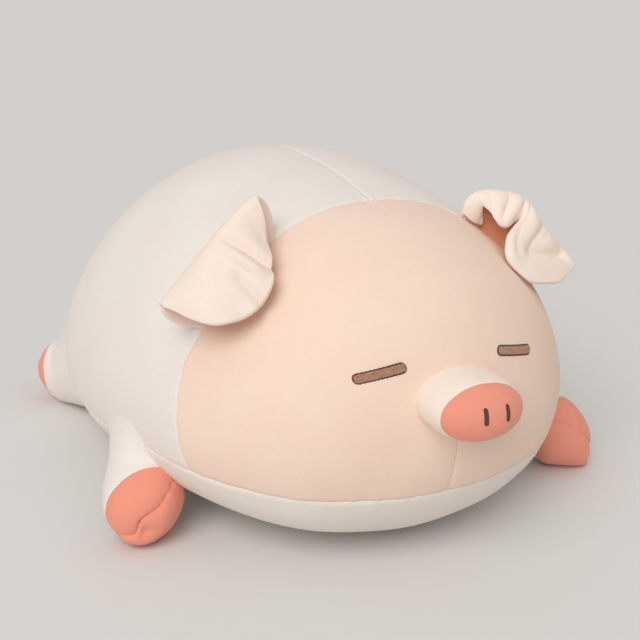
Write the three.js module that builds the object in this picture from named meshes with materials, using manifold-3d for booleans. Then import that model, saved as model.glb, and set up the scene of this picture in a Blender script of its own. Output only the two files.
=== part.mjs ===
// Plush pig lying on its belly. Stuffed cores carry sewn fabric panels, and the legs, ears and tail
// hinge at the seams that hold them. Millimetres, +Z up. The pig faces -Y, so its left side is +X,
// and its belly rests at z = 0.
import * as THREE from 'three';
import { mergeVertices } from 'three/addons/utils/BufferGeometryUtils.js';
import Module from 'manifold-3d';

const wasm = await Module();
wasm.setup();

// Fabric and seams
const fabricThickness = 2.2;
const seamGap = 0.3;
const restCut = 0.5;
const cutOverrun = 12;

// Body form: a sphere stretched and swollen by the shares below
const bodyLength = 459;
const bodyWidth = 392;
const bodyHeight = 252;
const bodyAxisHeight = 100;
const bodyTopShift = -21;
const floorSoftening = 8;
const bellySettle = 18;
const bellySettlePower = 6;
const widthShares = { rumpward: 0.101, ends: 0.258, upper: -0.049, upright: 0.133 };
const lengthShares = { ends: -0.003, upright: 0.049 };
const heightShares = { rumpward: 0.177, ends: 0.574, upper: 0.288, upright: 0.074 };
const bodyRings = 16;
const bodySides = 28;

// Seams of the body cover
const faceSeamBehindNose = 129.5;
const faceSeamHeight = 215;
const faceSeamLean = THREE.MathUtils.degToRad(12);
const bellySeamHeight = 70;
const bellySeamBehindNose = 29.5;
const bellySeamRise = THREE.MathUtils.degToRad(2);
const bellyBendBehindNose = 154.5;
const bellySeamFall = THREE.MathUtils.degToRad(9);
const topDartLength = 34;
const dartWidth = 1.6;
const seamHalvings = 40;

// Snout
const snoutHalfWidth = 37.2;
const snoutHalfHeight = 23.5;
const snoutReach = 45;
const snoutHeight = 147;
const snoutRoot = 16;
const snoutPitch = THREE.MathUtils.degToRad(0);
const snoutRoundness = 3.5;
const snoutDiscShare = 0.56;
const snoutSides = 20;
const snoutRingShares = [0, 0.3, 0.52, 0.7, 0.83, 0.92, 0.98];

// Embroidery
const stitchThickness = 1;
const stitchArcSteps = 5;
const eyeLength = 38;
const eyeWidth = 7.5;
const eyeSpacing = 116;
const eyeHeight = 168;
const eyeTilt = THREE.MathUtils.degToRad(12);
const nostrilLength = 12;
const nostrilWidth = 3.2;
const nostrilSpacing = 18;
const nostrilRise = 4.8;

// Legs: a foot that rests on the ground and a root that stands against the body's side
const footHalfLength = 43;
const footHalfWidth = 32.5;
const footHalfHeight = 32.5;
const frontToeDrop = 11;
const rearToeDrop = 0;
const legRootHalfWidth = 28;
const legRootDepth = 24;
const legRootReach = 32;
const frontRootHalfHeight = 36;
const frontRootHeight = 52;
const rearRootHalfHeight = 42;
const rearRootHeight = 63;
const frontRightRootReach = 16;
const frontRightFootInset = 14;
const frontRightFootBehindNose = 161;
const frontLeftFootInset = 1.5;
const frontLeftFootBehindNose = 129;
const rearFootInset = 37.5;
const rearFootBeforeRump = 33;
const frontRightLegYaw = THREE.MathUtils.degToRad(-64);
const frontLeftLegYaw = THREE.MathUtils.degToRad(-30);
const rearLegYaw = THREE.MathUtils.degToRad(67);
const frontHoofEdge = 10;
const rearHoofEdge = 17;
const frontHoofTurn = THREE.MathUtils.degToRad(26);
const rearHoofTurn = THREE.MathUtils.degToRad(0);
const hoofDip = THREE.MathUtils.degToRad(9);
const hoofSeamRoll = THREE.MathUtils.degToRad(40);
const cleftDepth = 8;
const legSides = 12;
const legStationShares = [-1, -0.62, -0.28, 0, 0.33, 0.6, 0.82, 0.95];

// Ears: a two-layer flap that rises from the face seam and folds over towards the face
const earInnerAngle = THREE.MathUtils.degToRad(66);
const earOuterAngle = THREE.MathUtils.degToRad(36);
const earCrestHeight = 33;
const earFoldRadius = 10;
const earFlapLength = 46;
const earFlapSlope = THREE.MathUtils.degToRad(28);
const earEndFlap = 5;
const earRootDepth = 3;
const earOutlinePower = 2.6;
const earFrameStep = THREE.MathUtils.degToRad(1);
const earColumns = 10;
const earRiseRows = 2;
const earFoldRows = 4;
const earFlapRows = 5;

// Tail: a narrow stuffed tube in one curl
const tailRadius = 6;
const tailTipRadius = 4;
const tailCurlRadius = 13;
const tailPitch = 20;
const tailHeight = 132;
const tailSides = 8;
const tailSteps = 18;
const tailTurns = 1.15;
const tailRootLength = 10;
const tailRootShare = 0.16;
const ballShares = [0.3, 0.65];

const white = new THREE.Color(0xf1e7de);
const cream = new THREE.Color(0xf7e6d8);
const peach = new THREE.Color(0xf9ddc7);
const coral = new THREE.Color(0xf59a81);
const deepCoral = new THREE.Color(0xe9714f);
const brown = new THREE.Color(0x8a6046);
const fibre = new THREE.Color(0xf6f4f0);
const clothRoughness = 0.9;
const threadRoughness = 0.7;
const fibreRoughness = 1;

const up = new THREE.Vector3(0, 0, 1);
const pig = new THREE.Group();

// Solids

function toSolid(geometry) {
  return new wasm.Manifold(new wasm.Mesh({
    numProp: 3,
    vertProperties: new Float32Array(geometry.getAttribute('position').array),
    triVerts: new Uint32Array(geometry.index.array),
  }));
}

function weld(geometry) {
  geometry.deleteAttribute('normal');
  geometry.deleteAttribute('uv');
  return mergeVertices(geometry);
}

function signedVolume(geometry) {
  const position = geometry.getAttribute('position');
  const index = geometry.index.array;
  const corners = [new THREE.Vector3(), new THREE.Vector3(), new THREE.Vector3()];
  let volume = 0;
  for (let i = 0; i < index.length; i += 3) {
    corners.forEach((corner, k) => corner.fromBufferAttribute(position, index[i + k]));
    volume += corners[0].dot(corners[1].clone().cross(corners[2])) / 6;
  }
  return volume;
}

function indexed(points, triangles) {
  const geometry = new THREE.BufferGeometry();
  const numbers = points.flatMap((point) => point.toArray());
  geometry.setAttribute('position', new THREE.Float32BufferAttribute(numbers, 3));
  geometry.setIndex(triangles);
  if (signedVolume(geometry) < 0) {
    geometry.setIndex(triangles.map((_, i) => triangles[i - (i % 3) + [0, 2, 1][i % 3]]));
  }
  return geometry;
}

// Rings of points joined by quads, closed at each end by one point
function ringsGeometry(firstPole, rings, lastPole) {
  const sides = rings[0].length;
  const points = [firstPole, ...rings.flat(), lastPole];
  const last = points.length - 1;
  const at = (ring, side) => 1 + ring * sides + (side % sides);
  const triangles = [];
  for (let side = 0; side < sides; side += 1) {
    triangles.push(0, at(0, side + 1), at(0, side));
    triangles.push(last, at(rings.length - 1, side), at(rings.length - 1, side + 1));
    for (let ring = 0; ring < rings.length - 1; ring += 1) {
      triangles.push(at(ring, side), at(ring, side + 1), at(ring + 1, side));
      triangles.push(at(ring, side + 1), at(ring + 1, side + 1), at(ring + 1, side));
    }
  }
  return indexed(points, triangles);
}

// A sheet with two faces and a closed rim; pointAt takes the share across, the row and the face
function sheetGeometry(columns, rows, pointAt) {
  const points = [];
  for (const face of [0, 1]) {
    for (let row = 0; row <= rows; row += 1) {
      for (let column = 0; column <= columns; column += 1) {
        points.push(pointAt(column / columns, row, face));
      }
    }
  }
  const at = (face, row, column) => (face * (rows + 1) + row) * (columns + 1) + column;
  const triangles = [];
  const quad = (a, b, c, d) => triangles.push(a, b, c, a, c, d);
  for (let row = 0; row < rows; row += 1) {
    for (let column = 0; column < columns; column += 1) {
      quad(at(0, row, column), at(0, row + 1, column), at(0, row + 1, column + 1), at(0, row, column + 1));
      quad(at(1, row, column), at(1, row, column + 1), at(1, row + 1, column + 1), at(1, row + 1, column));
    }
    quad(at(0, row, 0), at(1, row, 0), at(1, row + 1, 0), at(0, row + 1, 0));
    quad(at(0, row, columns), at(0, row + 1, columns), at(1, row + 1, columns), at(1, row, columns));
  }
  for (let column = 0; column < columns; column += 1) {
    quad(at(0, 0, column), at(0, 0, column + 1), at(1, 0, column + 1), at(1, 0, column));
    quad(at(0, rows, column), at(1, rows, column), at(1, rows, column + 1), at(0, rows, column + 1));
  }
  return indexed(points, triangles);
}

// The same closed form with each point moved along its normal
function offset(geometry, distance) {
  const moved = geometry.clone();
  moved.computeVertexNormals();
  const position = moved.getAttribute('position');
  const normal = moved.getAttribute('normal');
  for (let i = 0; i < position.count; i += 1) {
    position.setXYZ(
      i,
      position.getX(i) + normal.getX(i) * distance,
      position.getY(i) + normal.getY(i) * distance,
      position.getZ(i) + normal.getZ(i) * distance,
    );
  }
  moved.deleteAttribute('normal');
  return moved;
}

// Everything on the side of a plane that its normal points to
function halfSpace(point, normal) {
  const reach = bodyLength * 2;
  const box = weld(new THREE.BoxGeometry(reach, reach, reach));
  box.translate(0, 0, reach / 2);
  box.applyQuaternion(new THREE.Quaternion().setFromUnitVectors(up, normal.clone().normalize()));
  box.translate(point.x, point.y, point.z);
  return toSolid(box);
}

function beyond(point, normal, distance) {
  const along = normal.clone().normalize();
  return halfSpace(point.clone().addScaledVector(along, distance), along);
}

function material(color, roughness) {
  return new THREE.MeshStandardMaterial({ color, roughness, metalness: 0 });
}

function addPiece(name, solid, color, roughness) {
  const { vertProperties, triVerts } = solid.getMesh();
  const geometry = new THREE.BufferGeometry();
  geometry.setAttribute('position', new THREE.BufferAttribute(new Float32Array(vertProperties), 3));
  geometry.setIndex(new THREE.BufferAttribute(new Uint32Array(triVerts), 1));
  geometry.computeVertexNormals();
  const mesh = new THREE.Mesh(geometry, material(color, roughness));
  mesh.name = name;
  pig.add(mesh);
}

// Body

function swollen(shares, end, rise) {
  return 1 + (shares.rumpward ?? 0) * end + (shares.ends ?? 0) * end * end
    + (shares.upper ?? 0) * rise + (shares.upright ?? 0) * rise * rise;
}

// A point of the body for a direction given by its parts towards the rump, the left side and the top.
// The underside settles towards the ground, and the ground holds it up.
function bodyPoint(end, side, rise) {
  const x = bodyWidth / 2 * side * swollen(widthShares, end, rise);
  const y = bodyLength / 2 * end * swollen(lengthShares, end, rise) + bodyTopShift * rise;
  const settled = bellySettle * Math.max(-rise, 0) ** bellySettlePower;
  const z = bodyAxisHeight + bodyHeight / 2 * rise * swollen(heightShares, end, rise) - settled;
  return new THREE.Vector3(x, y, (z + Math.hypot(z, floorSoftening)) / 2);
}

function bodyRing(latitude) {
  return Array.from({ length: bodySides }, (_, side) => {
    const turn = side / bodySides * 2 * Math.PI;
    return bodyPoint(
      Math.sin(latitude),
      Math.cos(latitude) * Math.cos(turn),
      Math.cos(latitude) * Math.sin(turn),
    );
  });
}

const latitudes = Array.from({ length: bodyRings - 1 }, (_, i) => Math.PI * ((i + 1) / bodyRings - 1 / 2));
const bodyForm = ringsGeometry(bodyPoint(-1, 0, 0), latitudes.map(bodyRing), bodyPoint(1, 0, 0));
bodyForm.computeBoundingBox();
const bodyDrop = bodyForm.boundingBox.min.z + restCut;
bodyForm.translate(0, 0, -bodyDrop);

const aboveGround = halfSpace(new THREE.Vector3(0, 0, 0), up);
const bodySolid = toSolid(bodyForm).intersect(aboveGround);
const bodyClearance = toSolid(offset(bodyForm, seamGap));
const bodyHollow = toSolid(offset(bodyForm, -fabricThickness));

const faceSeam = new THREE.Vector3(0, faceSeamBehindNose - bodyLength / 2, faceSeamHeight);
const faceward = new THREE.Vector3(0, -Math.cos(faceSeamLean), Math.sin(faceSeamLean));
const backward = faceward.clone().negate();
const bellySeam = new THREE.Vector3(0, bellySeamBehindNose - bodyLength / 2, bellySeamHeight);
const upward = new THREE.Vector3(0, -Math.sin(bellySeamRise), Math.cos(bellySeamRise));
const downward = upward.clone().negate();
const bellyBend = bellySeam.clone().add(new THREE.Vector3(
  0,
  bellyBendBehindNose - bellySeamBehindNose,
  (bellyBendBehindNose - bellySeamBehindNose) * Math.tan(bellySeamRise),
));
const rearUpward = new THREE.Vector3(0, Math.sin(bellySeamFall), Math.cos(bellySeamFall));
const rearDownward = rearUpward.clone().negate();
const leftward = new THREE.Vector3(1, 0, 0);

// A slit that opens at one end, which shapes the face panel like a dart in cloth
function dart(base, tip, across) {
  const along = tip.clone().sub(base);
  const shape = new THREE.Shape();
  shape.moveTo(-dartWidth / 2, -cutOverrun);
  shape.lineTo(dartWidth / 2, -cutOverrun);
  shape.lineTo(dartWidth / 2, 0);
  shape.lineTo(0, along.length());
  shape.lineTo(-dartWidth / 2, 0);
  const wedge = weld(new THREE.ExtrudeGeometry(shape, { depth: cutOverrun * 2, bevelEnabled: false }));
  wedge.translate(0, 0, -cutOverrun);
  const direction = along.clone().normalize();
  wedge.applyMatrix4(new THREE.Matrix4().makeBasis(across, direction, across.clone().cross(direction)));
  wedge.translate(base.x, base.y, base.z);
  return toSolid(wedge);
}

// Where a line from inside the body leaves its surface
function onBody(from, direction) {
  const ray = new THREE.Raycaster(from, direction.clone().normalize());
  const target = new THREE.Mesh(bodyForm, new THREE.MeshBasicMaterial({ side: THREE.DoubleSide }));
  target.updateMatrixWorld();
  return ray.intersectObject(target)[0].point;
}

const bodyMiddle = new THREE.Vector3(0, 0, bodyAxisHeight);
const cover = bodySolid.subtract(bodyHollow);
const aboveBelly = beyond(bellySeam, upward, seamGap / 2).add(beyond(bellyBend, rearUpward, seamGap / 2));
const belowBelly = beyond(bellySeam, downward, seamGap / 2)
  .intersect(beyond(bellyBend, rearDownward, seamGap / 2));
const faceSide = beyond(faceSeam, faceward, seamGap / 2);
const backSide = beyond(faceSeam, backward, seamGap / 2).intersect(aboveBelly);

const topDartBase = onBody(new THREE.Vector3(0, faceSeam.y, bodyAxisHeight), up);
const topDartTip = onBody(new THREE.Vector3(0, topDartBase.y - topDartLength, bodyAxisHeight), up);
const chinLine = (height) => onBody(new THREE.Vector3(0, 0, height), new THREE.Vector3(0, -1, 0));
const chinDartBase = chinLine(bellySeamHeight);
const chinDartTip = chinLine(snoutHeight);
const facePanel = cover.intersect(faceSide).intersect(aboveBelly)
  .subtract(dart(topDartBase, topDartTip, leftward))
  .subtract(dart(chinDartBase, chinDartTip, leftward));

addPiece('body_filling', toSolid(offset(bodyForm, -fabricThickness - seamGap)), fibre, fibreRoughness);
addPiece('face_panel', facePanel, peach, clothRoughness);
for (const [name, outward] of [['left', leftward], ['right', leftward.clone().negate()]]) {
  const panel = cover.intersect(backSide).intersect(beyond(bodyMiddle, outward, seamGap / 2));
  addPiece(`back_panel_${name}`, panel, white, clothRoughness);
}
addPiece('belly_panel', cover.intersect(belowBelly), white, clothRoughness);

// Snout

const snoutAxis = new THREE.Vector3(0, -Math.cos(snoutPitch), Math.sin(snoutPitch));
const snoutUp = new THREE.Vector3(0, Math.sin(snoutPitch), Math.cos(snoutPitch));
const snoutFace = onBody(new THREE.Vector3(0, 0, snoutHeight), new THREE.Vector3(0, -1, 0));
const snoutBase = snoutFace.clone().addScaledVector(snoutAxis, -snoutRoot);

function snoutRing(share) {
  const width = Math.sqrt(1 - share ** snoutRoundness);
  const centre = snoutFace.clone().addScaledVector(snoutAxis, snoutReach * share);
  return Array.from({ length: snoutSides }, (_, side) => {
    const turn = side / snoutSides * 2 * Math.PI;
    return centre.clone()
      .addScaledVector(leftward, snoutHalfWidth * width * Math.cos(turn))
      .addScaledVector(snoutUp, snoutHalfHeight * width * Math.sin(turn));
  });
}

const snoutRootRing = snoutRing(0).map((point) => point.addScaledVector(snoutAxis, -snoutRoot));
const snoutTip = snoutFace.clone().addScaledVector(snoutAxis, snoutReach);
const snoutForm = ringsGeometry(snoutBase, [snoutRootRing, ...snoutRingShares.map(snoutRing)], snoutTip);
const snoutHollow = toSolid(offset(snoutForm, -fabricThickness));
const snoutCover = toSolid(snoutForm).subtract(snoutHollow).subtract(bodyClearance);
const snoutEdge = snoutFace.clone().addScaledVector(snoutAxis, snoutReach * snoutDiscShare);
const snoutCore = toSolid(offset(snoutForm, -fabricThickness - seamGap)).subtract(bodyClearance);

addPiece('snout_filling', snoutCore, fibre, fibreRoughness);
const behindEdge = beyond(snoutEdge, snoutAxis.clone().negate(), seamGap / 2);
addPiece('snout_band', snoutCover.intersect(behindEdge), cream, clothRoughness);
const beforeEdge = beyond(snoutEdge, snoutAxis, seamGap / 2);
addPiece('snout_disc', snoutCover.intersect(beforeEdge), coral, clothRoughness);

// Embroidery: a bar with round ends, raised by its threads from the cloth under it

function stitchedBar(length, width, centre, outward, turn, cloth) {
  const straight = (length - width) / 2;
  const shape = new THREE.Shape();
  shape.absarc(straight, 0, width / 2, -Math.PI / 2, Math.PI / 2);
  shape.absarc(-straight, 0, width / 2, Math.PI / 2, Math.PI * 3 / 2);
  const bar = weld(new THREE.ExtrudeGeometry(shape, {
    depth: cutOverrun * 2,
    bevelEnabled: false,
    curveSegments: stitchArcSteps,
  }));
  bar.translate(0, 0, -cutOverrun);
  bar.rotateZ(turn);
  const side = new THREE.Vector3().crossVectors(up, outward).normalize();
  const over = new THREE.Vector3().crossVectors(outward, side);
  bar.applyMatrix4(new THREE.Matrix4().makeBasis(side, over, outward));
  bar.translate(centre.x, centre.y, centre.z);
  return toSolid(bar)
    .intersect(toSolid(offset(cloth, seamGap + stitchThickness)))
    .subtract(toSolid(offset(cloth, seamGap)));
}

const forward = new THREE.Vector3(0, -1, 0);
for (const [name, side] of [['right', -1], ['left', 1]]) {
  const eye = onBody(new THREE.Vector3(side * eyeSpacing / 2, 0, eyeHeight), forward);
  const lid = stitchedBar(eyeLength, eyeWidth, eye, forward, -side * eyeTilt, bodyForm);
  addPiece(`eye_${name}`, lid, brown, threadRoughness);
  const nostril = snoutTip.clone().addScaledVector(leftward, side * nostrilSpacing / 2)
    .addScaledVector(snoutUp, nostrilRise);
  const patch = stitchedBar(nostrilLength, nostrilWidth, nostril, snoutAxis, Math.PI / 2, snoutForm);
  addPiece(`nostril_${name}`, patch, brown, threadRoughness);
}

// Legs

const frontShape = {
  rootHalfHeight: frontRootHalfHeight,
  rootHeight: frontRootHeight,
  toeDrop: frontToeDrop,
  hoofEdge: frontHoofEdge,
  hoofTurn: frontHoofTurn,
};
const rearShape = {
  rootHalfHeight: rearRootHalfHeight,
  rootHeight: rearRootHeight,
  toeDrop: rearToeDrop,
  hoofEdge: rearHoofEdge,
  hoofTurn: rearHoofTurn,
};
const legs = [
  {
    name: 'front_right_leg',
    ...frontShape,
    side: -1,
    yaw: frontRightLegYaw,
    rootReach: frontRightRootReach,
    footX: frontRightFootInset - bodyWidth / 2,
    footY: frontRightFootBehindNose - bodyLength / 2,
  },
  {
    name: 'front_left_leg',
    ...frontShape,
    side: 1,
    yaw: frontLeftLegYaw,
    rootReach: legRootReach,
    footX: bodyWidth / 2 - frontLeftFootInset,
    footY: frontLeftFootBehindNose - bodyLength / 2,
  },
  ...[['right', -1], ['left', 1]].map(([name, side]) => ({
    name: `rear_${name}_leg`,
    ...rearShape,
    side,
    yaw: rearLegYaw,
    rootReach: legRootReach,
    footX: side * (bodyWidth / 2 - rearFootInset),
    footY: bodyLength / 2 - rearFootBeforeRump,
  })),
];

function legForm(leg) {
  const along = new THREE.Vector3(leg.side * Math.cos(leg.yaw), Math.sin(leg.yaw), 0);
  const across = new THREE.Vector3().crossVectors(up, along);
  const foot = new THREE.Vector3(leg.footX, leg.footY, footHalfHeight - restCut);
  const ring = (share) => {
    const rounding = share > 0 ? Math.sqrt(1 - share * share) : 1;
    const blend = share < 0 ? THREE.MathUtils.smoothstep(-share, 0, 1) : 0;
    const width = THREE.MathUtils.lerp(footHalfWidth, legRootHalfWidth, blend) * rounding;
    const height = THREE.MathUtils.lerp(footHalfHeight, leg.rootHalfHeight, blend) * rounding;
    const reach = share > 0 ? footHalfLength * share : leg.rootReach * share;
    const centre = foot.clone().addScaledVector(along, reach);
    centre.z = THREE.MathUtils.lerp(foot.z, leg.rootHeight, blend) - leg.toeDrop * Math.max(share, 0) ** 2;
    return Array.from({ length: legSides }, (_, side) => {
      const turn = side / legSides * 2 * Math.PI;
      return centre.clone()
        .addScaledVector(across, width * Math.cos(turn))
        .addScaledVector(up, height * Math.sin(turn));
    });
  };
  const rootMiddle = foot.clone().addScaledVector(along, -leg.rootReach - legRootDepth);
  rootMiddle.z = leg.rootHeight;
  const tip = foot.clone().addScaledVector(along, footHalfLength - cleftDepth);
  tip.z -= leg.toeDrop;
  const form = ringsGeometry(rootMiddle, legStationShares.map(ring), tip);
  return { form, foot, along, across };
}

for (const leg of legs) {
  const { form, foot, along, across } = legForm(leg);
  const hollow = toSolid(offset(form, -fabricThickness));
  const skin = toSolid(form).intersect(aboveGround).subtract(hollow).subtract(bodyClearance);
  const core = toSolid(offset(form, -fabricThickness - seamGap)).subtract(bodyClearance);
  const hoofPoint = foot.clone().addScaledVector(along, leg.hoofEdge);
  const hoofYaw = leg.yaw + Math.sign(leg.yaw) * leg.hoofTurn;
  const hoofward = new THREE.Vector3(leg.side * Math.cos(hoofYaw), Math.sin(hoofYaw), 0)
    .multiplyScalar(Math.cos(hoofDip)).addScaledVector(up, -Math.sin(hoofDip));
  const sleeveSide = beyond(hoofPoint, hoofward.clone().negate(), seamGap / 2);
  const hoof = skin.intersect(beyond(hoofPoint, hoofward, seamGap / 2));
  const inward = across.clone().multiplyScalar(-Math.sign(across.dot(foot)));
  const soleward = inward.multiplyScalar(Math.sin(hoofSeamRoll))
    .addScaledVector(up, -Math.cos(hoofSeamRoll));
  const topSide = beyond(foot, soleward.clone().negate(), seamGap / 2);
  const soleSide = beyond(foot, soleward, seamGap / 2);
  addPiece(`${leg.name}_filling`, core, fibre, fibreRoughness);
  addPiece(`${leg.name}_sleeve`, skin.intersect(sleeveSide), white, clothRoughness);
  addPiece(`${leg.name}_hoof_top`, hoof.intersect(topSide), coral, clothRoughness);
  addPiece(`${leg.name}_hoof_sole`, hoof.intersect(soleSide), coral, clothRoughness);
}

// Ears

// The point of the body on the face seam at an angle round the long axis, found by halving
function seamPoint(angle) {
  const at = (latitude) => bodyPoint(
    Math.sin(latitude),
    Math.cos(latitude) * Math.cos(angle),
    Math.cos(latitude) * Math.sin(angle),
  ).addScaledVector(up, -bodyDrop);
  let front = -Math.PI / 2;
  let back = Math.PI / 4;
  for (let step = 0; step < seamHalvings; step += 1) {
    const middle = (front + back) / 2;
    if (at(middle).sub(faceSeam).dot(faceward) > 0) front = middle;
    else back = middle;
  }
  return at(front);
}

const earRiseLength = earCrestHeight - earFoldRadius;
const earFoldAngle = Math.PI / 2 + earFlapSlope;

// The ear's length from its seam at a row: up the rise, round the fold, then down the flap
function earLength(row, outline) {
  if (row <= earRiseRows) {
    return THREE.MathUtils.lerp(-earRootDepth, earRiseLength, row / earRiseRows);
  }
  const folded = Math.min((row - earRiseRows) / earFoldRows, 1);
  const flapped = Math.max((row - earRiseRows - earFoldRows) / earFlapRows, 0);
  return earRiseLength + earFoldRadius * earFoldAngle * folded
    + (earEndFlap + earFlapLength * outline) * flapped;
}

// Along the ear's middle line: how far it has come forward from the seam, its height and its heading
function earProfile(length) {
  const turned = THREE.MathUtils.clamp((length - earRiseLength) / earFoldRadius, 0, earFoldAngle);
  const past = Math.max(length - earRiseLength - earFoldRadius * earFoldAngle, 0);
  const heading = Math.PI / 2 - turned;
  return {
    forward: earFoldRadius * (1 - Math.cos(turned)) + past * Math.cos(heading),
    height: Math.min(length, earRiseLength) + earFoldRadius * Math.sin(turned) + past * Math.sin(heading),
    heading,
  };
}

// One layer of the ear, between two distances from its middle line
function earLayer(inner, outer) {
  return sheetGeometry(earColumns, earRiseRows + earFoldRows + earFlapRows, (across, row, face) => {
    const angle = THREE.MathUtils.lerp(earInnerAngle, earOuterAngle, across);
    const onward = seamPoint(angle - earFrameStep).sub(seamPoint(angle + earFrameStep)).normalize();
    const tangent = faceward.clone().addScaledVector(onward, -faceward.dot(onward)).normalize();
    const normal = new THREE.Vector3().crossVectors(tangent, onward).normalize();
    const outline = Math.sqrt(1 - Math.abs(2 * across - 1) ** earOutlinePower);
    const { forward, height, heading } = earProfile(earLength(row, outline));
    const through = face ? outer : inner;
    return seamPoint(angle)
      .addScaledVector(tangent, forward - through * Math.sin(heading))
      .addScaledVector(normal, height + through * Math.cos(heading));
  });
}

for (const [name, side] of [['right', -1], ['left', 1]]) {
  for (const [layer, inner, outer, color] of [
    ['outer', seamGap / 2, seamGap / 2 + fabricThickness, cream],
    ['lining', -seamGap / 2 - fabricThickness, -seamGap / 2, deepCoral],
  ]) {
    const flap = toSolid(earLayer(inner, outer)).subtract(bodyClearance);
    addPiece(`ear_${name}_${layer}`, side < 0 ? flap.mirror([1, 0, 0]) : flap, color, clothRoughness);
  }
}

// Tail

const tailBase = onBody(new THREE.Vector3(0, 0, tailHeight), new THREE.Vector3(0, 1, 0));
const tailPivot = tailBase.clone().add(new THREE.Vector3(0, seamGap * 2 + tailRadius, 0));

function tailCurve(share) {
  const turn = share * tailTurns * 2 * Math.PI;
  return new THREE.Vector3(
    tailCurlRadius * Math.sin(turn),
    tailPitch * share + tailRootLength * (1 - Math.exp(-share / tailRootShare)),
    tailCurlRadius * (1 - Math.cos(turn)),
  ).add(tailPivot);
}

function tailRing(share, heading, centre, radius) {
  const turn = share * tailTurns * 2 * Math.PI;
  const outward = new THREE.Vector3(Math.sin(turn), 0, -Math.cos(turn));
  const across = new THREE.Vector3().crossVectors(heading, outward).normalize();
  const over = new THREE.Vector3().crossVectors(across, heading);
  return Array.from({ length: tailSides }, (_, side) => {
    const angle = side / tailSides * 2 * Math.PI;
    return centre.clone()
      .addScaledVector(across, radius * Math.cos(angle))
      .addScaledVector(over, radius * Math.sin(angle));
  });
}

function tailRings() {
  const backwards = new THREE.Vector3(0, 1, 0);
  const ball = ballShares.map((share) => tailRing(
    0,
    backwards,
    tailPivot.clone().addScaledVector(backwards, -tailRadius * Math.cos(share * Math.PI / 2)),
    tailRadius * Math.sin(share * Math.PI / 2),
  ));
  const tube = Array.from({ length: tailSteps + 1 }, (_, step) => {
    const share = step / tailSteps;
    const heading = tailCurve(share + 1 / tailSteps).sub(tailCurve(share)).normalize();
    const radius = THREE.MathUtils.lerp(tailRadius, tailTipRadius, share);
    return tailRing(share, step ? heading : backwards, tailCurve(share), radius);
  });
  return [...ball, ...tube];
}

const tailHeading = tailCurve(1 + 1 / tailSteps).sub(tailCurve(1)).normalize();
const tailEnd = tailCurve(1).addScaledVector(tailHeading, tailTipRadius);
const tailForm = ringsGeometry(
  tailPivot.clone().add(new THREE.Vector3(0, -tailRadius, 0)),
  tailRings(),
  tailEnd,
);
addPiece('tail', toSolid(tailForm), cream, clothRoughness);

export default pig;
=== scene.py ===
"""Plush pig lying on its belly: cloth panels over fibre, with stitched eyes and nostrils.

The pig faces -Y, its left side is +X and it rests on z = 0. All lengths are metres.
A direction of the body is given by its parts towards the rump, the left side and the top.
"""

import math

import bmesh
import bpy
import numpy as np
from mathutils import Matrix, Vector


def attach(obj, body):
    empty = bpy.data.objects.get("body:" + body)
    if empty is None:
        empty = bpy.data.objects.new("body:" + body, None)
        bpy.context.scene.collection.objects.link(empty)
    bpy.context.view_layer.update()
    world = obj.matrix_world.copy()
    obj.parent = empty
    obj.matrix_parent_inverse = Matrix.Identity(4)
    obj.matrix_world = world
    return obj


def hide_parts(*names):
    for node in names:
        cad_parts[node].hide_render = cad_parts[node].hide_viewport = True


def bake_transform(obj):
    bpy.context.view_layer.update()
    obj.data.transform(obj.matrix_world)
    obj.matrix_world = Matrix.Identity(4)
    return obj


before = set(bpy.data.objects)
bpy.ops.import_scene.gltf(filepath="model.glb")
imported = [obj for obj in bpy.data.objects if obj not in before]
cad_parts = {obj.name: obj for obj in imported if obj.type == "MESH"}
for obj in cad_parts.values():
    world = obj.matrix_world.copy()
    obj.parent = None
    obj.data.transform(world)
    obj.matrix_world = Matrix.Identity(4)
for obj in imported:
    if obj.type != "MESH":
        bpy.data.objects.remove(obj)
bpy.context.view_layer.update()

TURN = 2 * math.pi
MILLIMETRE = 0.001
LEFTWARD = np.array([1.0, 0.0, 0.0])
RUMPWARD = np.array([0.0, 1.0, 0.0])
UPRIGHT = np.array([0.0, 0.0, 1.0])
MIRROR = np.array([-1, 1, 1])

# Body form
BODY_LENGTH = 0.459
BODY_WIDTH = 0.392
BODY_HEIGHT = 0.252
BODY_AXIS_HEIGHT = 0.100
BODY_TOP_SHIFT = -0.021
FLOOR_SOFTENING = 0.008
BELLY_SETTLE = 0.018
BELLY_SETTLE_POWER = 6
REST_DROP = 0.0012
WIDTH_SWELL = (0.101, 0.258, -0.049, 0.133)
LENGTH_SWELL = (0.0, -0.003, 0.0, 0.049)
HEIGHT_SWELL = (0.177, 0.574, 0.288, 0.074)
BODY_MIDDLE = np.array([0.0, 0.0, BODY_AXIS_HEIGHT])

# Seams of the body cover
FACE_SEAM = np.array([0.0, -0.100, 0.215])
FACE_SEAM_LEAN = math.radians(12)
FACEWARD = np.array([0.0, -math.cos(FACE_SEAM_LEAN), math.sin(FACE_SEAM_LEAN)])
FACE_SWING = 0.008
FACE_SWING_HEIGHTS = (0.150, 0.188)
BELLY_SEAM = np.array([0.0, -0.200, 0.070])
BELLY_SEAM_RISE = math.radians(2)
UPWARD = np.array([0.0, -math.sin(BELLY_SEAM_RISE), math.cos(BELLY_SEAM_RISE)])
BELLY_BEND = np.array([0.0, -0.075, 0.0744])
BELLY_SEAM_FALL = math.radians(9)
REAR_UPWARD = np.array([0.0, math.sin(BELLY_SEAM_FALL), math.cos(BELLY_SEAM_FALL)])
FACE_RADIUS = 0.17
BELLY_RADIUS = 0.21
BELLY_REACH = 0.28
CLOTH_THICKNESS = 0.0016
SEAM_LIP = 0.004
BELLY_TUCK = 0.0022
FACE_TUCK = 0.0015
SPINE_TUCK = 0.0015
CHIN_TUCK = 0.0012
CHIN_SEAM_HEIGHTS = (0.118, 0.135)
DART_TUCK = 0.0010
DART_LENGTH = 0.034
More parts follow.
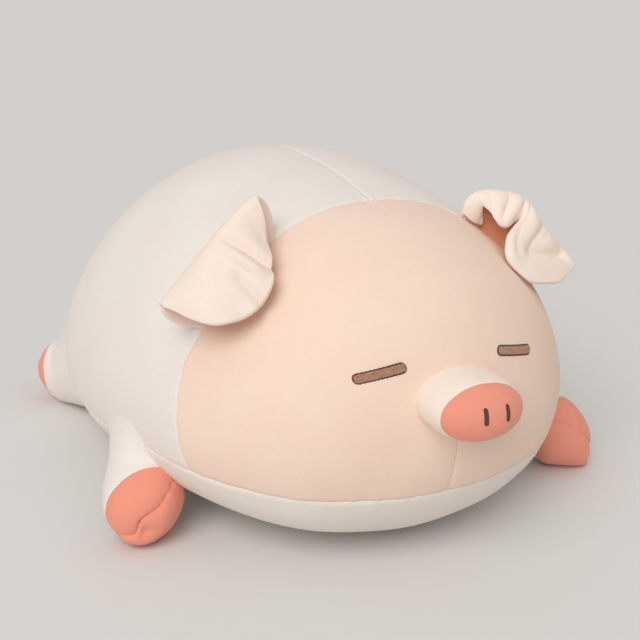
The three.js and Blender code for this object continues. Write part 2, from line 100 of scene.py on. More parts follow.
TUCK_WIDTH = 0.0045
PUCKER_HEIGHT = 0.00022
PUCKER_REACH = 0.009
LUMP_HEIGHT = 0.0006
LUMP_LENGTHS = (0.06, 0.11)
FLAT_FADE = 0.02
RING_TUCK = 0.0012
RING_TUCK_WIDTH = 0.0035
RING_RADIUS = 0.031
RING_LIPS = (0.0015, 0.003)
SEAM_STEP = 0.0004
FINE_STEP = 0.0012
PANEL_STEP = 0.0032

# Fibre of the body: how far it lies under the cloth, and how much more beside a seam
FIBRE_DEPTH = 0.0035
FIBRE_SEAM_DEPTH = 0.004
FIBRE_SEAM_WIDTH = 0.008

# Snout
SNOUT_HEIGHT = 0.147
SNOUT_HALF_WIDTH = 0.0372
SNOUT_HALF_HEIGHT = 0.0235
SNOUT_REACH = 0.045
SNOUT_ROUNDNESS = 3.5
SNOUT_DISC_SHARE = 0.56
SNOUT_AXIS = np.array([0.0, -1.0, 0.0])
SNOUT_TUCK_WIDTH = 0.003
SNOUT_BAND_REACH = 0.04
SNOUT_PINCH = 0.0022
SNOUT_PINCH_REACH = 0.007
SNOUT_FIBRE_INSET = 0.003
SNOUT_FIBRE_ENDS = (0.93, -0.1)
SNOUT_FIBRE_TAPER = 0.85
SNOUT_START = np.array([0.0, -0.215, SNOUT_HEIGHT])

# Stitched bars
THREAD_HEIGHT = 0.0011
THREAD_PITCH = 0.00055
THREAD_ROOT = 0.0006
# Insets over which the painted shade at a stitched bar's edge fades into the thread's own colour
THREAD_SHADE_INSETS = (0.0007, 0.0014)
EYE_SIZE = (0.038, 0.0075)
EYE_PLACES = {"right": (-0.0583, 0.1686), "left": (0.0562, 0.1693)}
EYE_TILT = math.radians(12)
NOSTRIL_SIZE = (0.012, 0.0032)
NOSTRIL_SPACING = 0.018
NOSTRIL_RISE = 0.0048

# Legs: yaw, where the foot rests, how far back the root lies and how the toe and the hoof's
# rim lean
FOOT_HALF_LENGTH = 0.043
FOOT_HALF_WIDTH = 0.0325
FOOT_HALF_HEIGHT = 0.0325
FOOT_HEIGHT = 0.032
ROOT_HALF_WIDTH = 0.028
CORNER_SHARE = 0.995
CORNER_GAP = 0.12
CORNER_STEP = 0.02
FLARE_PULL = 0.5
INNER_FLARE = (-0.2, 0.8)
INNER_HIDDEN = (0.1, 0.95)
INNER_THINNED = (-0.5, 0.3)
CURVE_START = 0.3
CURVE_FLARE = 0.05
CURVE_LONGEST = 0.75
SLEEVE_LENGTH = 0.03
SLEEVE_STEP = 0.0015
SLEEVE_CURVE_ROWS = 26
SLEEVE_SUNK = 0.0016
SLEEVE_HIDDEN = 0.03
SLEEVE_HIDDEN_INSET = 0.004
SLEEVE_HELD = 0.010
SLEEVE_LEAN = 0.2
HOOF_DIP = math.radians(9)
HOOF_SEAM_ROLL = math.radians(36)
CLEFT_DEPTH = 0.0014
CLEFT_REACH = 0.003
TOE_DEPTH = 0.0062
TOE_REACH = 0.009
TOE_SPREAD = math.radians(34)
DENT_DEPTH = 0.0045
DENT_SWING = (0.10, 0.26)
DENT_PLACE = (0.010, 0.006)
HOOF_SWAYS = ((0.0055, 0.28, 0.30), (-0.0025, -0.25, 0.35))
SWAY_REACH = 0.010
GATHER_HEIGHT = 0.0005
GATHER_REACH = 0.004
LEG_FIBRE_INSET = 0.0110
LEG_FIBRE_START = 0.1
LEG_FIBRE_END = 0.72
LEG_FIBRE_TIP = 0.020
FRONT_LEG = {
    "root_half_height": 0.036, "root_height": 0.052, "toe_drop": 0.011, "hoof_edge": 0.010,
    "hoof_turn": math.radians(26), "flare": (0.045, 0.016, 0.010, 0.030), "fullness": 0.12,
}
REAR_LEG = {
    "root_half_height": 0.045, "root_height": 0.066, "toe_drop": 0.0, "hoof_edge": 0.029,
    "hoof_turn": math.radians(-30), "flare": (0.030, 0.022, 0.034, 0.022), "fullness": 1.0,
}
LEGS = {
    "front_right_leg": {
        **FRONT_LEG, "side": -1, "yaw": math.radians(-64), "root_reach": 0.016,
        "foot": (-0.182, -0.0685),
    },
    "front_left_leg": {
        **FRONT_LEG, "side": 1, "yaw": math.radians(-30), "root_reach": 0.032,
        "foot": (0.1945, -0.1005), "toe_drop": 0.021, "hoof_edge": 0.0,
    },
    "rear_right_leg": {
        **REAR_LEG, "side": -1, "yaw": math.radians(67), "root_reach": 0.032,
        "foot": (-0.1585, 0.1965),
    },
    "rear_left_leg": {
        **REAR_LEG, "side": 1, "yaw": math.radians(67), "root_reach": 0.032,
        "foot": (0.1585, 0.1965),
    },
}

# Ears. Each line of the sheet is given by shares across and places in millimetres from the middle
# of the ear's seam: across, forward and up. A crease runs between two places across and up.
EAR_ANGLE = math.radians(51)
EAR_INNER_ANGLE = math.radians(63.5)
EAR_OUTER_ANGLE = math.radians(36)
EAR_ROOT_DEPTH = 0.003
EAR_EDGE_REACH = 0.0022
EAR_WIDTH = 0.15
EAR_DEPTH = 0.10
EAR_STEPS = (0.0009, 0.0010)
EAR_FLAP_SHARES = (0.5, 0.58)
EAR_BACK_SHARES = (0.40, 0.50)
EAR_TURN_REACHES = (0.0020, 0.0030)
EAR_ROLL_PLACE = (0.006, 0.004)
EAR_COVER_FACE = 0.0021
EAR_COVER_BACK = 0.0002
EAR_COVER_TURNED = -0.0019
EAR_LINING_FACE = -0.0017
EAR_LINING_TURNED = -0.0006
EAR_LINING_BACK = -0.0001
EAR_LINING_INSET = 6
EAR_LINES = ("back", "crest", "front", "hem")
RIGHT_EAR = {
    "back": (
        (0, -62, -1, 13), (0.12, -49, 0, 26), (0.3, -24, 1, 34), (0.5, 1, 2, 36.5),
        (0.8, 33, -1, 34.5), (0.92, 51, -4, 26), (1, 64, -4, 18.5),
    ),
    "crest": (
        (0, -53, 8, 30), (0.1, -43, 9, 32.5), (0.28, -22, 11, 34.5), (0.5, 1, 12, 34.5),
        (0.78, 28, 8, 33.5), (0.94, 46.5, 2, 32.5), (1, 53.5, 0, 31),
    ),
    "front": (
        (0, -44, 17, 13), (0.1, -24, 23, 15), (0.2, -18, 28, 22), (0.35, -9, 29, 31),
        (0.5, 1, 29, 34), (0.77, 37, 24, 32), (0.93, 50, 10, 31), (1, 53.5, 4, 31),
    ),
    "hem": (
        (0, -28, 17, 9), (0.08, -24, 27, 3), (0.16, -19, 36, -1), (0.3, -4, 47, -8),
        (0.43, 14, 50, -10), (0.53, 27, 49, -7), (0.61, 36, 47, -2), (0.69, 45, 43, 5),
        (0.77, 49, 35, 12), (0.84, 51, 27, 18), (0.93, 51.5, 16, 25), (1, 53, 6, 30),
    ),
    "creases": (
        ((-10, 34), (-14, -6), 5.0, 4.2), ((-4, 27), (-4, 5), -2.8, 3.4),
        ((1, 22), (0, 8), 1.4, 2.6), ((7, 16), (13, -10), 5.0, 4.2), ((-4, 34), (5, 24), 1.3, 2.6),
        ((18, 6), (31, -7), 1.2, 6.0),
    ),
    "turned_in": (0.009, 0.006),
    "roll": (0.0006, 0.0, 0.1),
}
LEFT_EAR = {
    "back": (
        (0, -43, 0, -6), (0.06, -50, 0, 1), (0.13, -51, 1, 10), (0.255, -42, 3, 24),
        (0.385, -27, 5, 33), (0.505, -13, 10, 36.5), (0.72, 12, 17, 26.5), (0.82, 25, 20, 23),
        (0.96, 42, 27, 20.5), (1, 44, 31, 17),
    ),
    "crest": (
        (0, -44, 4, -4), (0.06, -49.5, 6, 1.5), (0.13, -50.5, 8, 10), (0.19, -47, 10, 17),
        (0.255, -41, 12, 23), (0.32, -34, 13, 28), (0.385, -27, 15, 32), (0.45, -19.5, 18, 34.5),
        (0.505, -12.5, 20, 35), (0.6, -2, 24, 30), (0.72, 12.5, 27, 25.5), (0.82, 25, 30, 22.5),
        (0.95, 40, 36, 20), (1, 44, 40, 17),
    ),
    "front": (
        (0, -37, 7, -8), (0.06, -43, 12, 0), (0.13, -46, 15, 11), (0.255, -38, 24, 22),
        (0.385, -25, 28, 30), (0.43, -18, 27, 31), (0.47, -14, 26, 31), (0.52, -9, 32, 30),
        (0.6, -2, 40, 27), (0.72, 12, 42, 25), (0.82, 25, 44, 21), (0.95, 41, 43, 18),
        (1, 44, 42, 17),
    ),
    "hem": (
        (0, -27, 5, -1), (0.045, -32, 9, 4), (0.085, -39, 11, 7), (0.115, -41, 14, 9),
        (0.16, -36.5, 20, 5.5), (0.21, -30, 26, 1), (0.245, -25.5, 28, -0.5),
        (0.28, -20.5, 28, 1.5), (0.338, -17, 26, 9), (0.382, -14, 24, 14.5), (0.43, -9.5, 22.5, 20),
        (0.47, -11.5, 23, 24.5), (0.505, -10, 27, 16), (0.54, -13, 31, 8), (0.58, -18.5, 36, -2.5),
        (0.62, -22, 42, -12.5), (0.65, -21, 46, -20), (0.68, -17, 50, -26), (0.71, -10, 52, -27.5),
        (0.75, 0.5, 55, -28), (0.785, 9.5, 56, -27.5), (0.85, 24, 54, -17), (0.9, 34, 52, -9.5),
        (0.935, 39, 48, -1), (0.975, 43, 44, 9.5), (1, 44, 41, 16),
    ),
    "creases": (
        ((-6, -8), (31, 16), 5.4, 5.4), ((5, 27), (-3, 2), 3.0, 3.6), ((12, 24), (4, 8), 1.6, 3.6),
        ((-30, 30), (-28, 10), 2.2, 3.0), ((-21, 34), (-23, 8), -1.6, 3.2),
        ((-43, 20), (-34, 3), 1.8, 2.6),
    ),
    "turned_in": (0.013, 0.003),
    "roll": (0.0026, 0.46, 0.70),
}

# Tail
TAIL_HEIGHT = 0.132
TAIL_RADIUS = 0.006
TAIL_TIP_RADIUS = 0.004
TAIL_CURL_RADIUS = 0.013
TAIL_PITCH = 0.020
TAIL_TURNS = 1.15
TAIL_ROOT_LENGTH = 0.010
TAIL_ROOT_SHARE = 0.16
TAIL_GAP = 0.0006
TAIL_SUNK = 0.003
TAIL_FLARE = 0.35
TAIL_START = np.array([0.0, 0.235, TAIL_HEIGHT])

# Stage: the floor, the sky, the suns by power, spread and where they stand, and the camera
FLOOR_REACH = 12.0
FLOOR_DEPTH = 0.0004
FLOOR_CORNERS = ((-1, -1), (1, -1), (1, 1), (-1, 1))
FLOOR_COLOUR = (226, 224, 221)
SKY = {"Color": (1.0, 0.985, 0.97, 1.0), "Strength": 0.34}
SUNS = (
    ("wide_sun", 1.65, 40, (-0.587, -0.492, 0.643)),
    ("overhead", 0.55, 90, (0.1, -0.1, 1.0)),
)
CAMERA_AZIMUTH = math.radians(-28.042)
CAMERA_ELEVATION = math.radians(19.811)
CAMERA_ROLL = math.radians(2.0173)
CAMERA_AIM = np.array([0.0, 0.0, 0.1288])
CAMERA_DISTANCE = 1.006
CAMERA_LENS = 64.33
CAMERA_SENSOR = 36.0
CAMERA_SHIFT = (0.0116, 0.0016)


def unit(vectors):
    """Each vector over its own length."""
    return vectors / np.maximum(np.linalg.norm(vectors, axis=-1, keepdims=True), 1e-12)


def mix(first, second, share):
    """A straight blend from the first value to the second."""
    return first + (second - first) * share


def eased(value, low, high):
    """0 below low and 1 above high, and between them three squares less two cubes of the share."""
    share = np.clip((value - low) / (high - low), 0, 1)
    return share * share * (3 - 2 * share)


def bell(value, middle, width):
    """1 at the middle, falling off as e to the minus square of the distance over the width."""
    return np.exp(-(((value - middle) / width) ** 2))


def halved(like, low, high, keeps_low):
    """The place between two values where an answer changes, for each item of an array, by forty
    halvings."""
    low, high = np.full_like(like, low), np.full_like(like, high)
    for _ in range(40):
        middle = (low + high) / 2
        yes = keeps_low(middle)
        low, high = np.where(yes, middle, low), np.where(yes, high, middle)
    return (low + high) / 2


def graded(length, near=True, far=True, step=PANEL_STEP):
    """Shares of a length whose steps grow by a quarter from a seam until they are a panel's
    step."""
    growth = SEAM_STEP * 1.25 ** np.arange(int(math.log(step / SEAM_STEP) / math.log(1.25)) + 1)
    rest = length - growth.sum() * (int(near) + int(far))
    count = max(round(rest / step), 1)
    steps = [growth] * near + [np.full(count, rest / count)] + [growth[::-1]] * far
    places = np.cumsum(np.concatenate([[0.0], *steps]))
    return places / places[-1]


def full_turn(count):
    """Turns round an axis as one row, from 0 up to a whole turn."""
    return np.linspace(0, TURN, count, endpoint=False)[None]


def above_floor(points):
    """Points with none below the floor."""
    return np.maximum(points, [-np.inf, -np.inf, 0])


# Body


def swollen(shares, end, rise):
    """1 plus the shares of end, end squared, rise and rise squared."""
    return 1 + shares[0] * end + shares[1] * end**2 + shares[2] * rise + shares[3] * rise**2


def body_point(directions):
    """A stretched sphere whose three half lengths swell with the direction; its top leans forward,
    its underside settles, and a soft floor holds it up: half of z plus the root of z squared plus
    the softening squared."""
    end, side, rise = np.moveaxis(directions, -1, 0)
    x = BODY_WIDTH / 2 * side * swollen(WIDTH_SWELL, end, rise)
    y = BODY_LENGTH / 2 * end * swollen(LENGTH_SWELL, end, rise) + BODY_TOP_SHIFT * rise
    z = BODY_AXIS_HEIGHT + BODY_HEIGHT / 2 * rise * swollen(HEIGHT_SWELL, end, rise)
    z = z - BELLY_SETTLE * np.maximum(-rise, 0) ** BELLY_SETTLE_POWER
    z = (z + np.hypot(z, FLOOR_SOFTENING)) / 2 - REST_DROP
    return np.stack([x, y, np.maximum(z, 0)], -1)


def skin_normal(place, directions, middle):
    """The cross product of two small runs over a form given by directions, turned from its
    middle."""
    helper = np.where(np.abs(directions[..., 2:3]) < 0.9, UPRIGHT, [0.0, 1.0, 0.0])
    across = unit(np.cross(directions, helper))
    along = np.cross(directions, across)
    runs = [
        place(unit(directions + 1e-3 * way)) - place(unit(directions - 1e-3 * way))
        for way in (across, along)
    ]
    normals = unit(np.cross(*runs))
    return normals * np.sign(np.sum(normals * (place(directions) - middle), -1, keepdims=True))


def body_normal(directions):
    """The body's outward normal."""
    return skin_normal(body_point, directions, BODY_MIDDLE)


def body_share(points):
    """How far out points lie, 1 on the body, and their directions. The floor's softening is undone,
    then the direction that gives each point is found by feeding the swell its own last answer."""
    x, y = points[..., 0], points[..., 1]
    lifted = np.maximum(points[..., 2] + REST_DROP, 1e-4)
    z = lifted - FLOOR_SOFTENING**2 / (4 * lifted) - BODY_AXIS_HEIGHT
    directions = unit(np.stack([y, x, z + 1e-9], -1))
    for _ in range(30):
        end, _, rise = np.moveaxis(directions, -1, 0)
        settle = BELLY_SETTLE * np.maximum(-rise, 0) ** (BELLY_SETTLE_POWER - 1)
        high = z / (BODY_HEIGHT / 2 * swollen(HEIGHT_SWELL, end, rise) + settle)
        far = (y - BODY_TOP_SHIFT * high) / (BODY_LENGTH / 2 * swollen(LENGTH_SWELL, end, rise))
        wide = x / (BODY_WIDTH / 2 * swollen(WIDTH_SWELL, end, rise))
        parts = np.stack([far, wide, high], -1)
        share = np.linalg.norm(parts, axis=-1)
        directions = parts / share[..., None]
    return share, directions


def on_body(points):
    """Points moved to the body's surface along the lines on which only their share changes."""
    return body_point(body_share(points)[1])


def round_axis(latitude, angle):
    """A direction from a latitude towards the rump and an angle round the long axis."""
    flat = np.cos(latitude)
    return np.stack([np.sin(latitude) + 0 * angle, flat * np.cos(angle), flat * np.sin(angle)], -1)


def round_upright(latitude, heading):
    """A direction from a latitude towards the top and a heading from the left side to the rump."""
    flat, over = np.cos(latitude), np.sin(latitude) + 0 * heading
    return np.stack([flat * np.sin(heading), flat * np.cos(heading), over], -1)


def before_face(points):
    """How far points lie before the face's seam: the distance to a leaning plane that swings back
    below the ears."""
    swing = FACE_SWING * (1 - eased(points[..., 2], *FACE_SWING_HEIGHTS))
    return (points - FACE_SEAM) @ FACEWARD + swing


def over_belly(points):
    """How far points lie over the belly seam, which bends down behind the front legs: the greater
    of their distances from its two planes."""
    return np.maximum((points - BELLY_SEAM) @ UPWARD, (points - BELLY_BEND) @ REAR_UPWARD)


def face_seam(angle):
    """The direction of the face seam at an angle round the long axis."""
    latitude = halved(
        angle, -math.pi / 2, math.pi / 4,
        lambda middle: before_face(body_point(round_axis(middle, angle))) > 0,
    )
    return round_axis(latitude, angle)


def belly_seam(heading):
    """The latitude of the belly seam at a heading round the body."""
    return halved(
        heading, math.radians(-80), math.radians(60),
        lambda middle: over_belly(body_point(round_upright(middle, heading))) < 0,
    )


def spine(angle):
    """A direction in the middle plane, from the top towards the rump."""
    return np.stack([np.sin(angle), 0 * angle, np.cos(angle)], -1)


def evenly(directions):
    """A function of the share of a curve's length over the body, from directions along it."""
    steps = np.linalg.norm(np.diff(body_point(directions), axis=0), axis=1)
    reached = np.concatenate([[0.0], np.cumsum(steps)])

    def at(shares):
        places = shares * reached[-1]
        return unit(np.stack([np.interp(places, reached, part) for part in directions.T], -1))

    return at, reached[-1]


def three_cornered(low, high, far, columns, rows):
    """A patch from one corner to a far edge, between a low and a high edge: the straight blend of
    the two edges, plus what the far edge adds to theirs in step with the share across."""
    low_edge, high_edge, far_edge = low(columns), high(columns), far(rows)
    v = rows[:, None, None]
    straight = mix(low_edge[None], high_edge[None], v)
    bow = far_edge[:, None] - mix(low_edge[-1], high_edge[-1], v)
    return unit(straight + columns[None, :, None] * bow)


def reach_over(distance, normals, forward):
    """Distance over the cloth to a seam plane: the straight distance over the cloth's slant to
    it."""
    slant = np.sum(normals * forward, -1)
    return np.abs(distance) / np.sqrt(np.maximum(1 - slant**2, 0.05))


def seam_reaches(points, normals):
    """Distances over the cloth to the face's seam and to the belly's, by the plane that holds
    there."""
    to_face = reach_over(before_face(points), normals, FACEWARD)
    ahead, behind = (points - BELLY_SEAM) @ UPWARD, (points - BELLY_BEND) @ REAR_UPWARD
    to_belly = np.where(
        ahead > behind, reach_over(ahead, normals, UPWARD), reach_over(behind, normals, REAR_UPWARD)
    )
    return to_face, to_belly


def tucked(reach, depth, width=TUCK_WIDTH):
    """How far cloth sinks beside a seam: a quarter round, upright at the seam and level at the
    width, and a wide shallow dip round it."""
    near = np.clip(1 - reach / width, 0, 1)
    return depth * (0.75 * (1 - np.sqrt(1 - near**2)) + 0.25 * bell(reach, 0, 3 * width))


def puckered(along, reach):
    """Gathers along a seam: three waves whose pitch drifts, fading away from the seam."""
    waves = (
        np.sin(along * TURN / 0.021 + 1.7 * np.sin(along * TURN / 0.131))
        + 0.7 * np.sin(along * TURN / 0.0117 + 2.1 * np.sin(along * TURN / 0.173))
        + 0.4 * np.sin(along * TURN / 0.0083)
    )
    return PUCKER_HEIGHT * waves * np.exp(-reach / PUCKER_REACH)


def ring_tuck(turn, reach, width=RING_TUCK_WIDTH):
    """The tuck and the gathers beside a seam round the snout or a leg."""
    return tucked(reach, RING_TUCK, width) + 0.5 * puckered(turn * RING_RADIUS, reach)


def lumps(points):
    """Unevenness of the fibre: six long waves in scattered directions, added up."""
    scatter = np.random.default_rng(7)
    total = 0
    for _ in range(6):
        run = points @ unit(scatter.normal(size=3)) * TURN / scatter.uniform(*LUMP_LENGTHS)
        total = total + np.sin(run + scatter.uniform(0, TURN))
    return LUMP_HEIGHT * total / math.sqrt(6)


def cover(directions, lip, spine_seam):
    """Body cloth: the body's surface, sunk along its normal by the seams' tucks, their puckers, the
    fibre's lumps and the lip that turns in at a panel's edge."""
    points, normals = body_point(directions), body_normal(directions)
    to_face, to_belly = seam_reaches(points, normals)
    to_middle = np.abs(points[..., 0])
    above = eased(over_belly(points), -0.002, 0.002)
    over = np.arctan2(points[..., 2] - BODY_AXIS_HEIGHT, points[..., 0]) * FACE_RADIUS
    around = np.arctan2(points[..., 1], points[..., 0]) * BELLY_RADIUS
    to_spine = tucked(to_middle, 1.0) + puckered(points[..., 1], to_middle) / SPINE_TUCK
    sink = tucked(to_belly, BELLY_TUCK) + puckered(around, to_belly)
    sink += above * (tucked(to_face, FACE_TUCK) + puckered(over, to_face))
    sink += above * spine_seam * to_spine
    sink += lip - lumps(points)
    resting = eased(points[..., 2], 0.0, FLAT_FADE)
    return above_floor(points - normals * (sink * resting + lip * (1 - resting))[..., None])


def lipped(directions, edges):
    """The grid with two more rows at each named edge, and how far they turn in."""
    pads = [(2 * ("low" in edges), 2 * ("high" in edges)), (0, 2 * ("far" in edges))]
    rows, columns = directions.shape[:2]
    row = np.arange(-pads[0][0], rows + pads[0][1])
    column = np.arange(0, columns + pads[1][1])
    past = np.maximum(np.maximum(-row, row - rows + 1), 0)[:, None]
    past = np.maximum(past, np.maximum(column - columns + 1, 0)[None, :])
    grid = directions[np.clip(row, 0, rows - 1)][:, np.clip(column, 0, columns - 1)]
    return grid, past * SEAM_LIP / 2


def lips(edge, normals):
    """The two rows that turn in along a small seam."""
    return [edge - normals * turned for turned in RING_LIPS]


# Meshes


def grid_quads(rows, columns, round_rows=False, round_columns=False):
    """The four corners of each square of a grid, whose last row or column may meet its first."""
    row = np.arange(rows if round_rows else rows - 1)[:, None]
    column = np.arange(columns if round_columns else columns - 1)[None, :]
    below, beside = (row + 1) % rows * columns, (column + 1) % columns
    corners = [row * columns + column, row * columns + beside, below + beside, below + column]
    return np.stack([corner.ravel() for corner in np.broadcast_arrays(*corners)], -1)


def grid_normals(points, inside):
    """Normals of a grid: the cross product of its steps down and across, turned from a point
    inside."""
    normals = unit(np.cross(np.gradient(points, axis=0), np.gradient(points, axis=1)))
    return normals * np.sign(np.sum(normals * (points - inside)))


def sewn(name, points, quads, inside=None, edge=None):
    """A mesh from points and squares that face away from a point inside it. Doubled points are
    welded, which closes poles, and the edge value of each point, the share of painted shade on a
    stitched bar, is kept for its material."""
    points = points.reshape(-1, 3)
    corners = points[quads]
    facing = np.cross(corners[:, 2] - corners[:, 0], corners[:, 3] - corners[:, 1])
    middle = points.mean(0) if inside is None else inside
    if np.sum(facing * (corners.mean(1) - middle)) < 0:
        quads = quads[:, ::-1]
    mesh = bpy.data.meshes.new(name)
    mesh.vertices.add(len(points))
    mesh.vertices.foreach_set("co", points.astype(np.float32).ravel())
    mesh.loops.add(quads.size)
    mesh.loops.foreach_set("vertex_index", quads.astype(np.int32).ravel())
    mesh.polygons.add(len(quads))
    mesh.polygons.foreach_set("loop_start", np.arange(0, quads.size, 4, dtype=np.int32))
    mesh.update(calc_edges=True)
    if edge is not None:
        layer = mesh.attributes.new("edge", "FLOAT", "POINT")
        layer.data.foreach_set("value", edge.astype(np.float32).ravel())
    form = bmesh.new()
    form.from_mesh(mesh)
    bmesh.ops.remove_doubles(form, verts=form.verts, dist=2e-6)
    bmesh.ops.dissolve_degenerate(form, edges=form.edges, dist=1e-7)
    form.to_mesh(mesh)
    form.free()
    mesh.polygons.foreach_set("use_smooth", np.ones(len(mesh.polygons), dtype=bool))
    return mesh


def sewn_grid(name, points, inside=None, rounded=True):
    """A mesh from one grid of points, whose last column meets its first if it is rounded."""
    return sewn(name, points, grid_quads(*points.shape[:2], round_columns=rounded), inside)


def two_faced(outer, inner):
    """Points and squares of a closed sheet from its two faces, each a grid of the same size."""
    rows, columns = outer.shape[:2]
    points = np.concatenate([outer, inner[::-1]])
    quads = grid_quads(2 * rows, columns, round_rows=True)
    row = np.arange(rows - 1)
    back = 2 * rows - 1 - row
    ends = [
        np.stack([row * columns, (row + 1) * columns, (back - 1) * columns, back * columns], -1),
        np.stack([row, back, back - 1, row + 1], -1) * columns + columns - 1,
    ]
    return points, np.concatenate([quads, *ends])


def blend_line(first, second, start, end):
    """What a piece needs to bend between two bodies: their names and two places in plain
    numbers."""
    return first, second, *(tuple(float(v) for v in place) for place in (start, end))


def dress(name, mesh, finish, node, body="body", between=None, fill=None, thick=None):
    """A piece of the pig with its finish, that stands for a CAD node and rides on a body, or, if it
    is given a line between two bodies, keeps its place in the world. A thin cloth gets its
    thickness inwards."""
    slot, material = finish
    piece = bpy.data.objects.new(name, mesh)
    bpy.context.scene.collection.objects.link(piece)
    mesh.materials.append(material)
    if thick:
        wall = piece.modifiers.new("cloth_thickness", "SOLIDIFY")
        wall.thickness = thick
        wall.offset = -1
    if between:
        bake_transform(piece)
    else:
        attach(piece, body)
    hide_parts(node)


def cloth(name, node, points, finish, inside, rounded=True, **riding):
    """A thin cloth piece from one grid of points."""
    mesh = sewn_grid(node, points, inside, rounded)
    dress(name, mesh, finish, node, thick=CLOTH_THICKNESS, **riding)


# Finishes


def colour(red, green, blue):
    """A screen colour from 0 to 255 as the linear one that a shader takes."""
    screen = np.array([red, green, blue]) / 255
    linear = np.where(screen <= 0.04045, screen / 12.92, ((screen + 0.055) / 1.055) ** 2.4)
    return (*[float(part) for part in linear], 1.0)


def wire(tree, node, inputs):
    """Gives each named input of a node its socket or its plain value."""
    for name, value in inputs.items():
        if isinstance(value, bpy.types.NodeSocket):
            tree.links.new(value, node.inputs[name])
        else:
            node.inputs[name].default_value = value


def added(tree, kind, inputs, **settings):
    """The outputs of a new node with these settings and inputs."""
    node = tree.nodes.new(kind)
    for name, value in settings.items():
        setattr(node, name, value)
    wire(tree, node, inputs)
    return node.outputs


def noise(tree, place, scale, detail, roughness):
    """Noise on the piece's own coordinates."""
    inputs = {"Vector": place, "Scale": scale, "Detail": detail, "Roughness": roughness}
    return added(tree, "ShaderNodeTexNoise", inputs)["Fac"]


def ranged(tree, value, low, high, from_low=0.3, from_high=0.7):
    """A value's range carried over to another range."""
    ends = {"From Min": from_low, "From Max": from_high, "To Min": low, "To Max": high}
    return added(tree, "ShaderNodeMapRange", {"Value": value, **ends})["Result"]


def blended(tree, share, first, second, **settings):
    """A colour between two, by a share."""
    inputs = {"Factor": share, "A": first, "B": second}
    return added(tree, "ShaderNodeMix", inputs, data_type="RGBA", **settings)["Result"]


def bumped(tree, height, strength, distance):
    """A normal bent by a height."""
    inputs = {"Height": height, "Strength": strength, "Distance": distance}
    return added(tree, "ShaderNodeBump", inputs)["Normal"]


def fresh_material(name):
    """A material with its tree, its shader and the piece's own coordinates."""
    material = bpy.data.materials.new(name)
    material.use_nodes = True
    tree = material.node_tree
    place = added(tree, "ShaderNodeTexCoord", {})["Object"]
    return material, tree, tree.nodes["Principled BSDF"], place


def short_pile(name, light, shade, sheen=0.25, tint=None):
    """Short brushed pile: slow patches between two near colours where the nap lies differently, a
    fine grain of fibre tips in colour and height, and a soft sheen."""
    material, tree, shader, place = fresh_material(name)
    patches = noise(tree, place, 22, 3.0, 0.55)
    grain = noise(tree, place, 1500, 2.0, 0.6)
    nap = noise(tree, place, 260, 3.0, 0.6)
    patch = blended(tree, ranged(tree, patches, 0.0, 0.55), colour(*light), colour(*shade))
    channels = dict.fromkeys(("Red", "Green", "Blue"), ranged(tree, grain, 0.955, 1.03))
    speckle = added(tree, "ShaderNodeCombineColor", channels)["Color"]
    height = added(tree, "ShaderNodeMath", {0: nap, 1: 0.6, 2: grain}, operation="MULTIPLY_ADD")
    wire(tree, shader, {
        "Base Color": blended(tree, 1.0, patch, speckle, blend_type="MULTIPLY"),
        "Normal": bumped(tree, height["Value"], 0.35, 0.0004),
        "Roughness": ranged(tree, patches, 0.86, 0.96),
        "Specular IOR Level": 0.2,
        "Sheen Weight": sheen,
        "Sheen Roughness": 0.45,
        "Sheen Tint": colour(*(tint or light)),
    })
    return material


def stitched_thread(name, dark, light):
    """Embroidery thread: light on top, with painted shade in the dark colour at its edge, where it
    sinks into the cloth, and in the gaps between threads, and fine strands.
    """
    material, tree, shader, place = fresh_material(name)
    dark = colour(*dark)
    edge = added(tree, "ShaderNodeAttribute", {}, attribute_name="edge")["Fac"]
    strands = noise(tree, place, 1100, 3.0, 0.65)
    # Painted shade: the edge value pulls the thread to the dark colour at the bar's edge and in the
    # gaps between threads, and the fine strands streak the dark colour in too
    body = blended(tree, ranged(tree, edge, 0.0, 1.0, 0.0, 1.0), colour(*light), dark)
    wire(tree, shader, {
        "Base Color": blended(tree, ranged(tree, strands, 0.0, 0.75, 0.42, 0.72), body, dark),
        "Normal": bumped(tree, strands, 0.4, 0.0002),
        "Roughness": ranged(tree, strands, 0.5, 0.75),
        "Sheen Weight": 0.2,
    })
    return material


# Each finish is a CAD slot with its material.
WHITE_CLOTH = ("white_cloth", short_pile("white_pile", (243, 234, 226), (238, 228, 219)))
CREAM_CLOTH = ("cream_cloth", short_pile("cream_pile", (251, 234, 220), (246, 227, 212)))
PEACH_CLOTH = ("peach_cloth", short_pile("peach_pile", (250, 224, 205), (246, 217, 197)))
CORAL_CLOTH = (
    "coral_cloth", short_pile("coral_pile", (247, 160, 137), (241, 149, 125), 0.4, (255, 225, 215))
)
# The lining's colours are lighter than its deep coral cloth: painted light standing for light that
# shines through the thin ear and bounces inside its fold
LINING_CLOTH = (
    "deep_coral_cloth",
    short_pile("ear_lining_pile", (255, 184, 146), (255, 172, 134), 0.5, (255, 190, 160)),
)
FIBRE = ("fibre", short_pile("loose_fibre", (246, 244, 240), (238, 236, 232), 0.1))
# Each thread's first colour is the dark one: painted shade at a bar's edge and in the gaps between
# its threads
EYE_THREAD = (
    "brown_thread", stitched_thread("brown_eye_thread", (66, 38, 27), (204, 150, 122))
)
NOSTRIL_THREAD = (
    "brown_thread", stitched_thread("brown_nostril_thread", (84, 48, 35), (104, 62, 46))
)


# Body panels


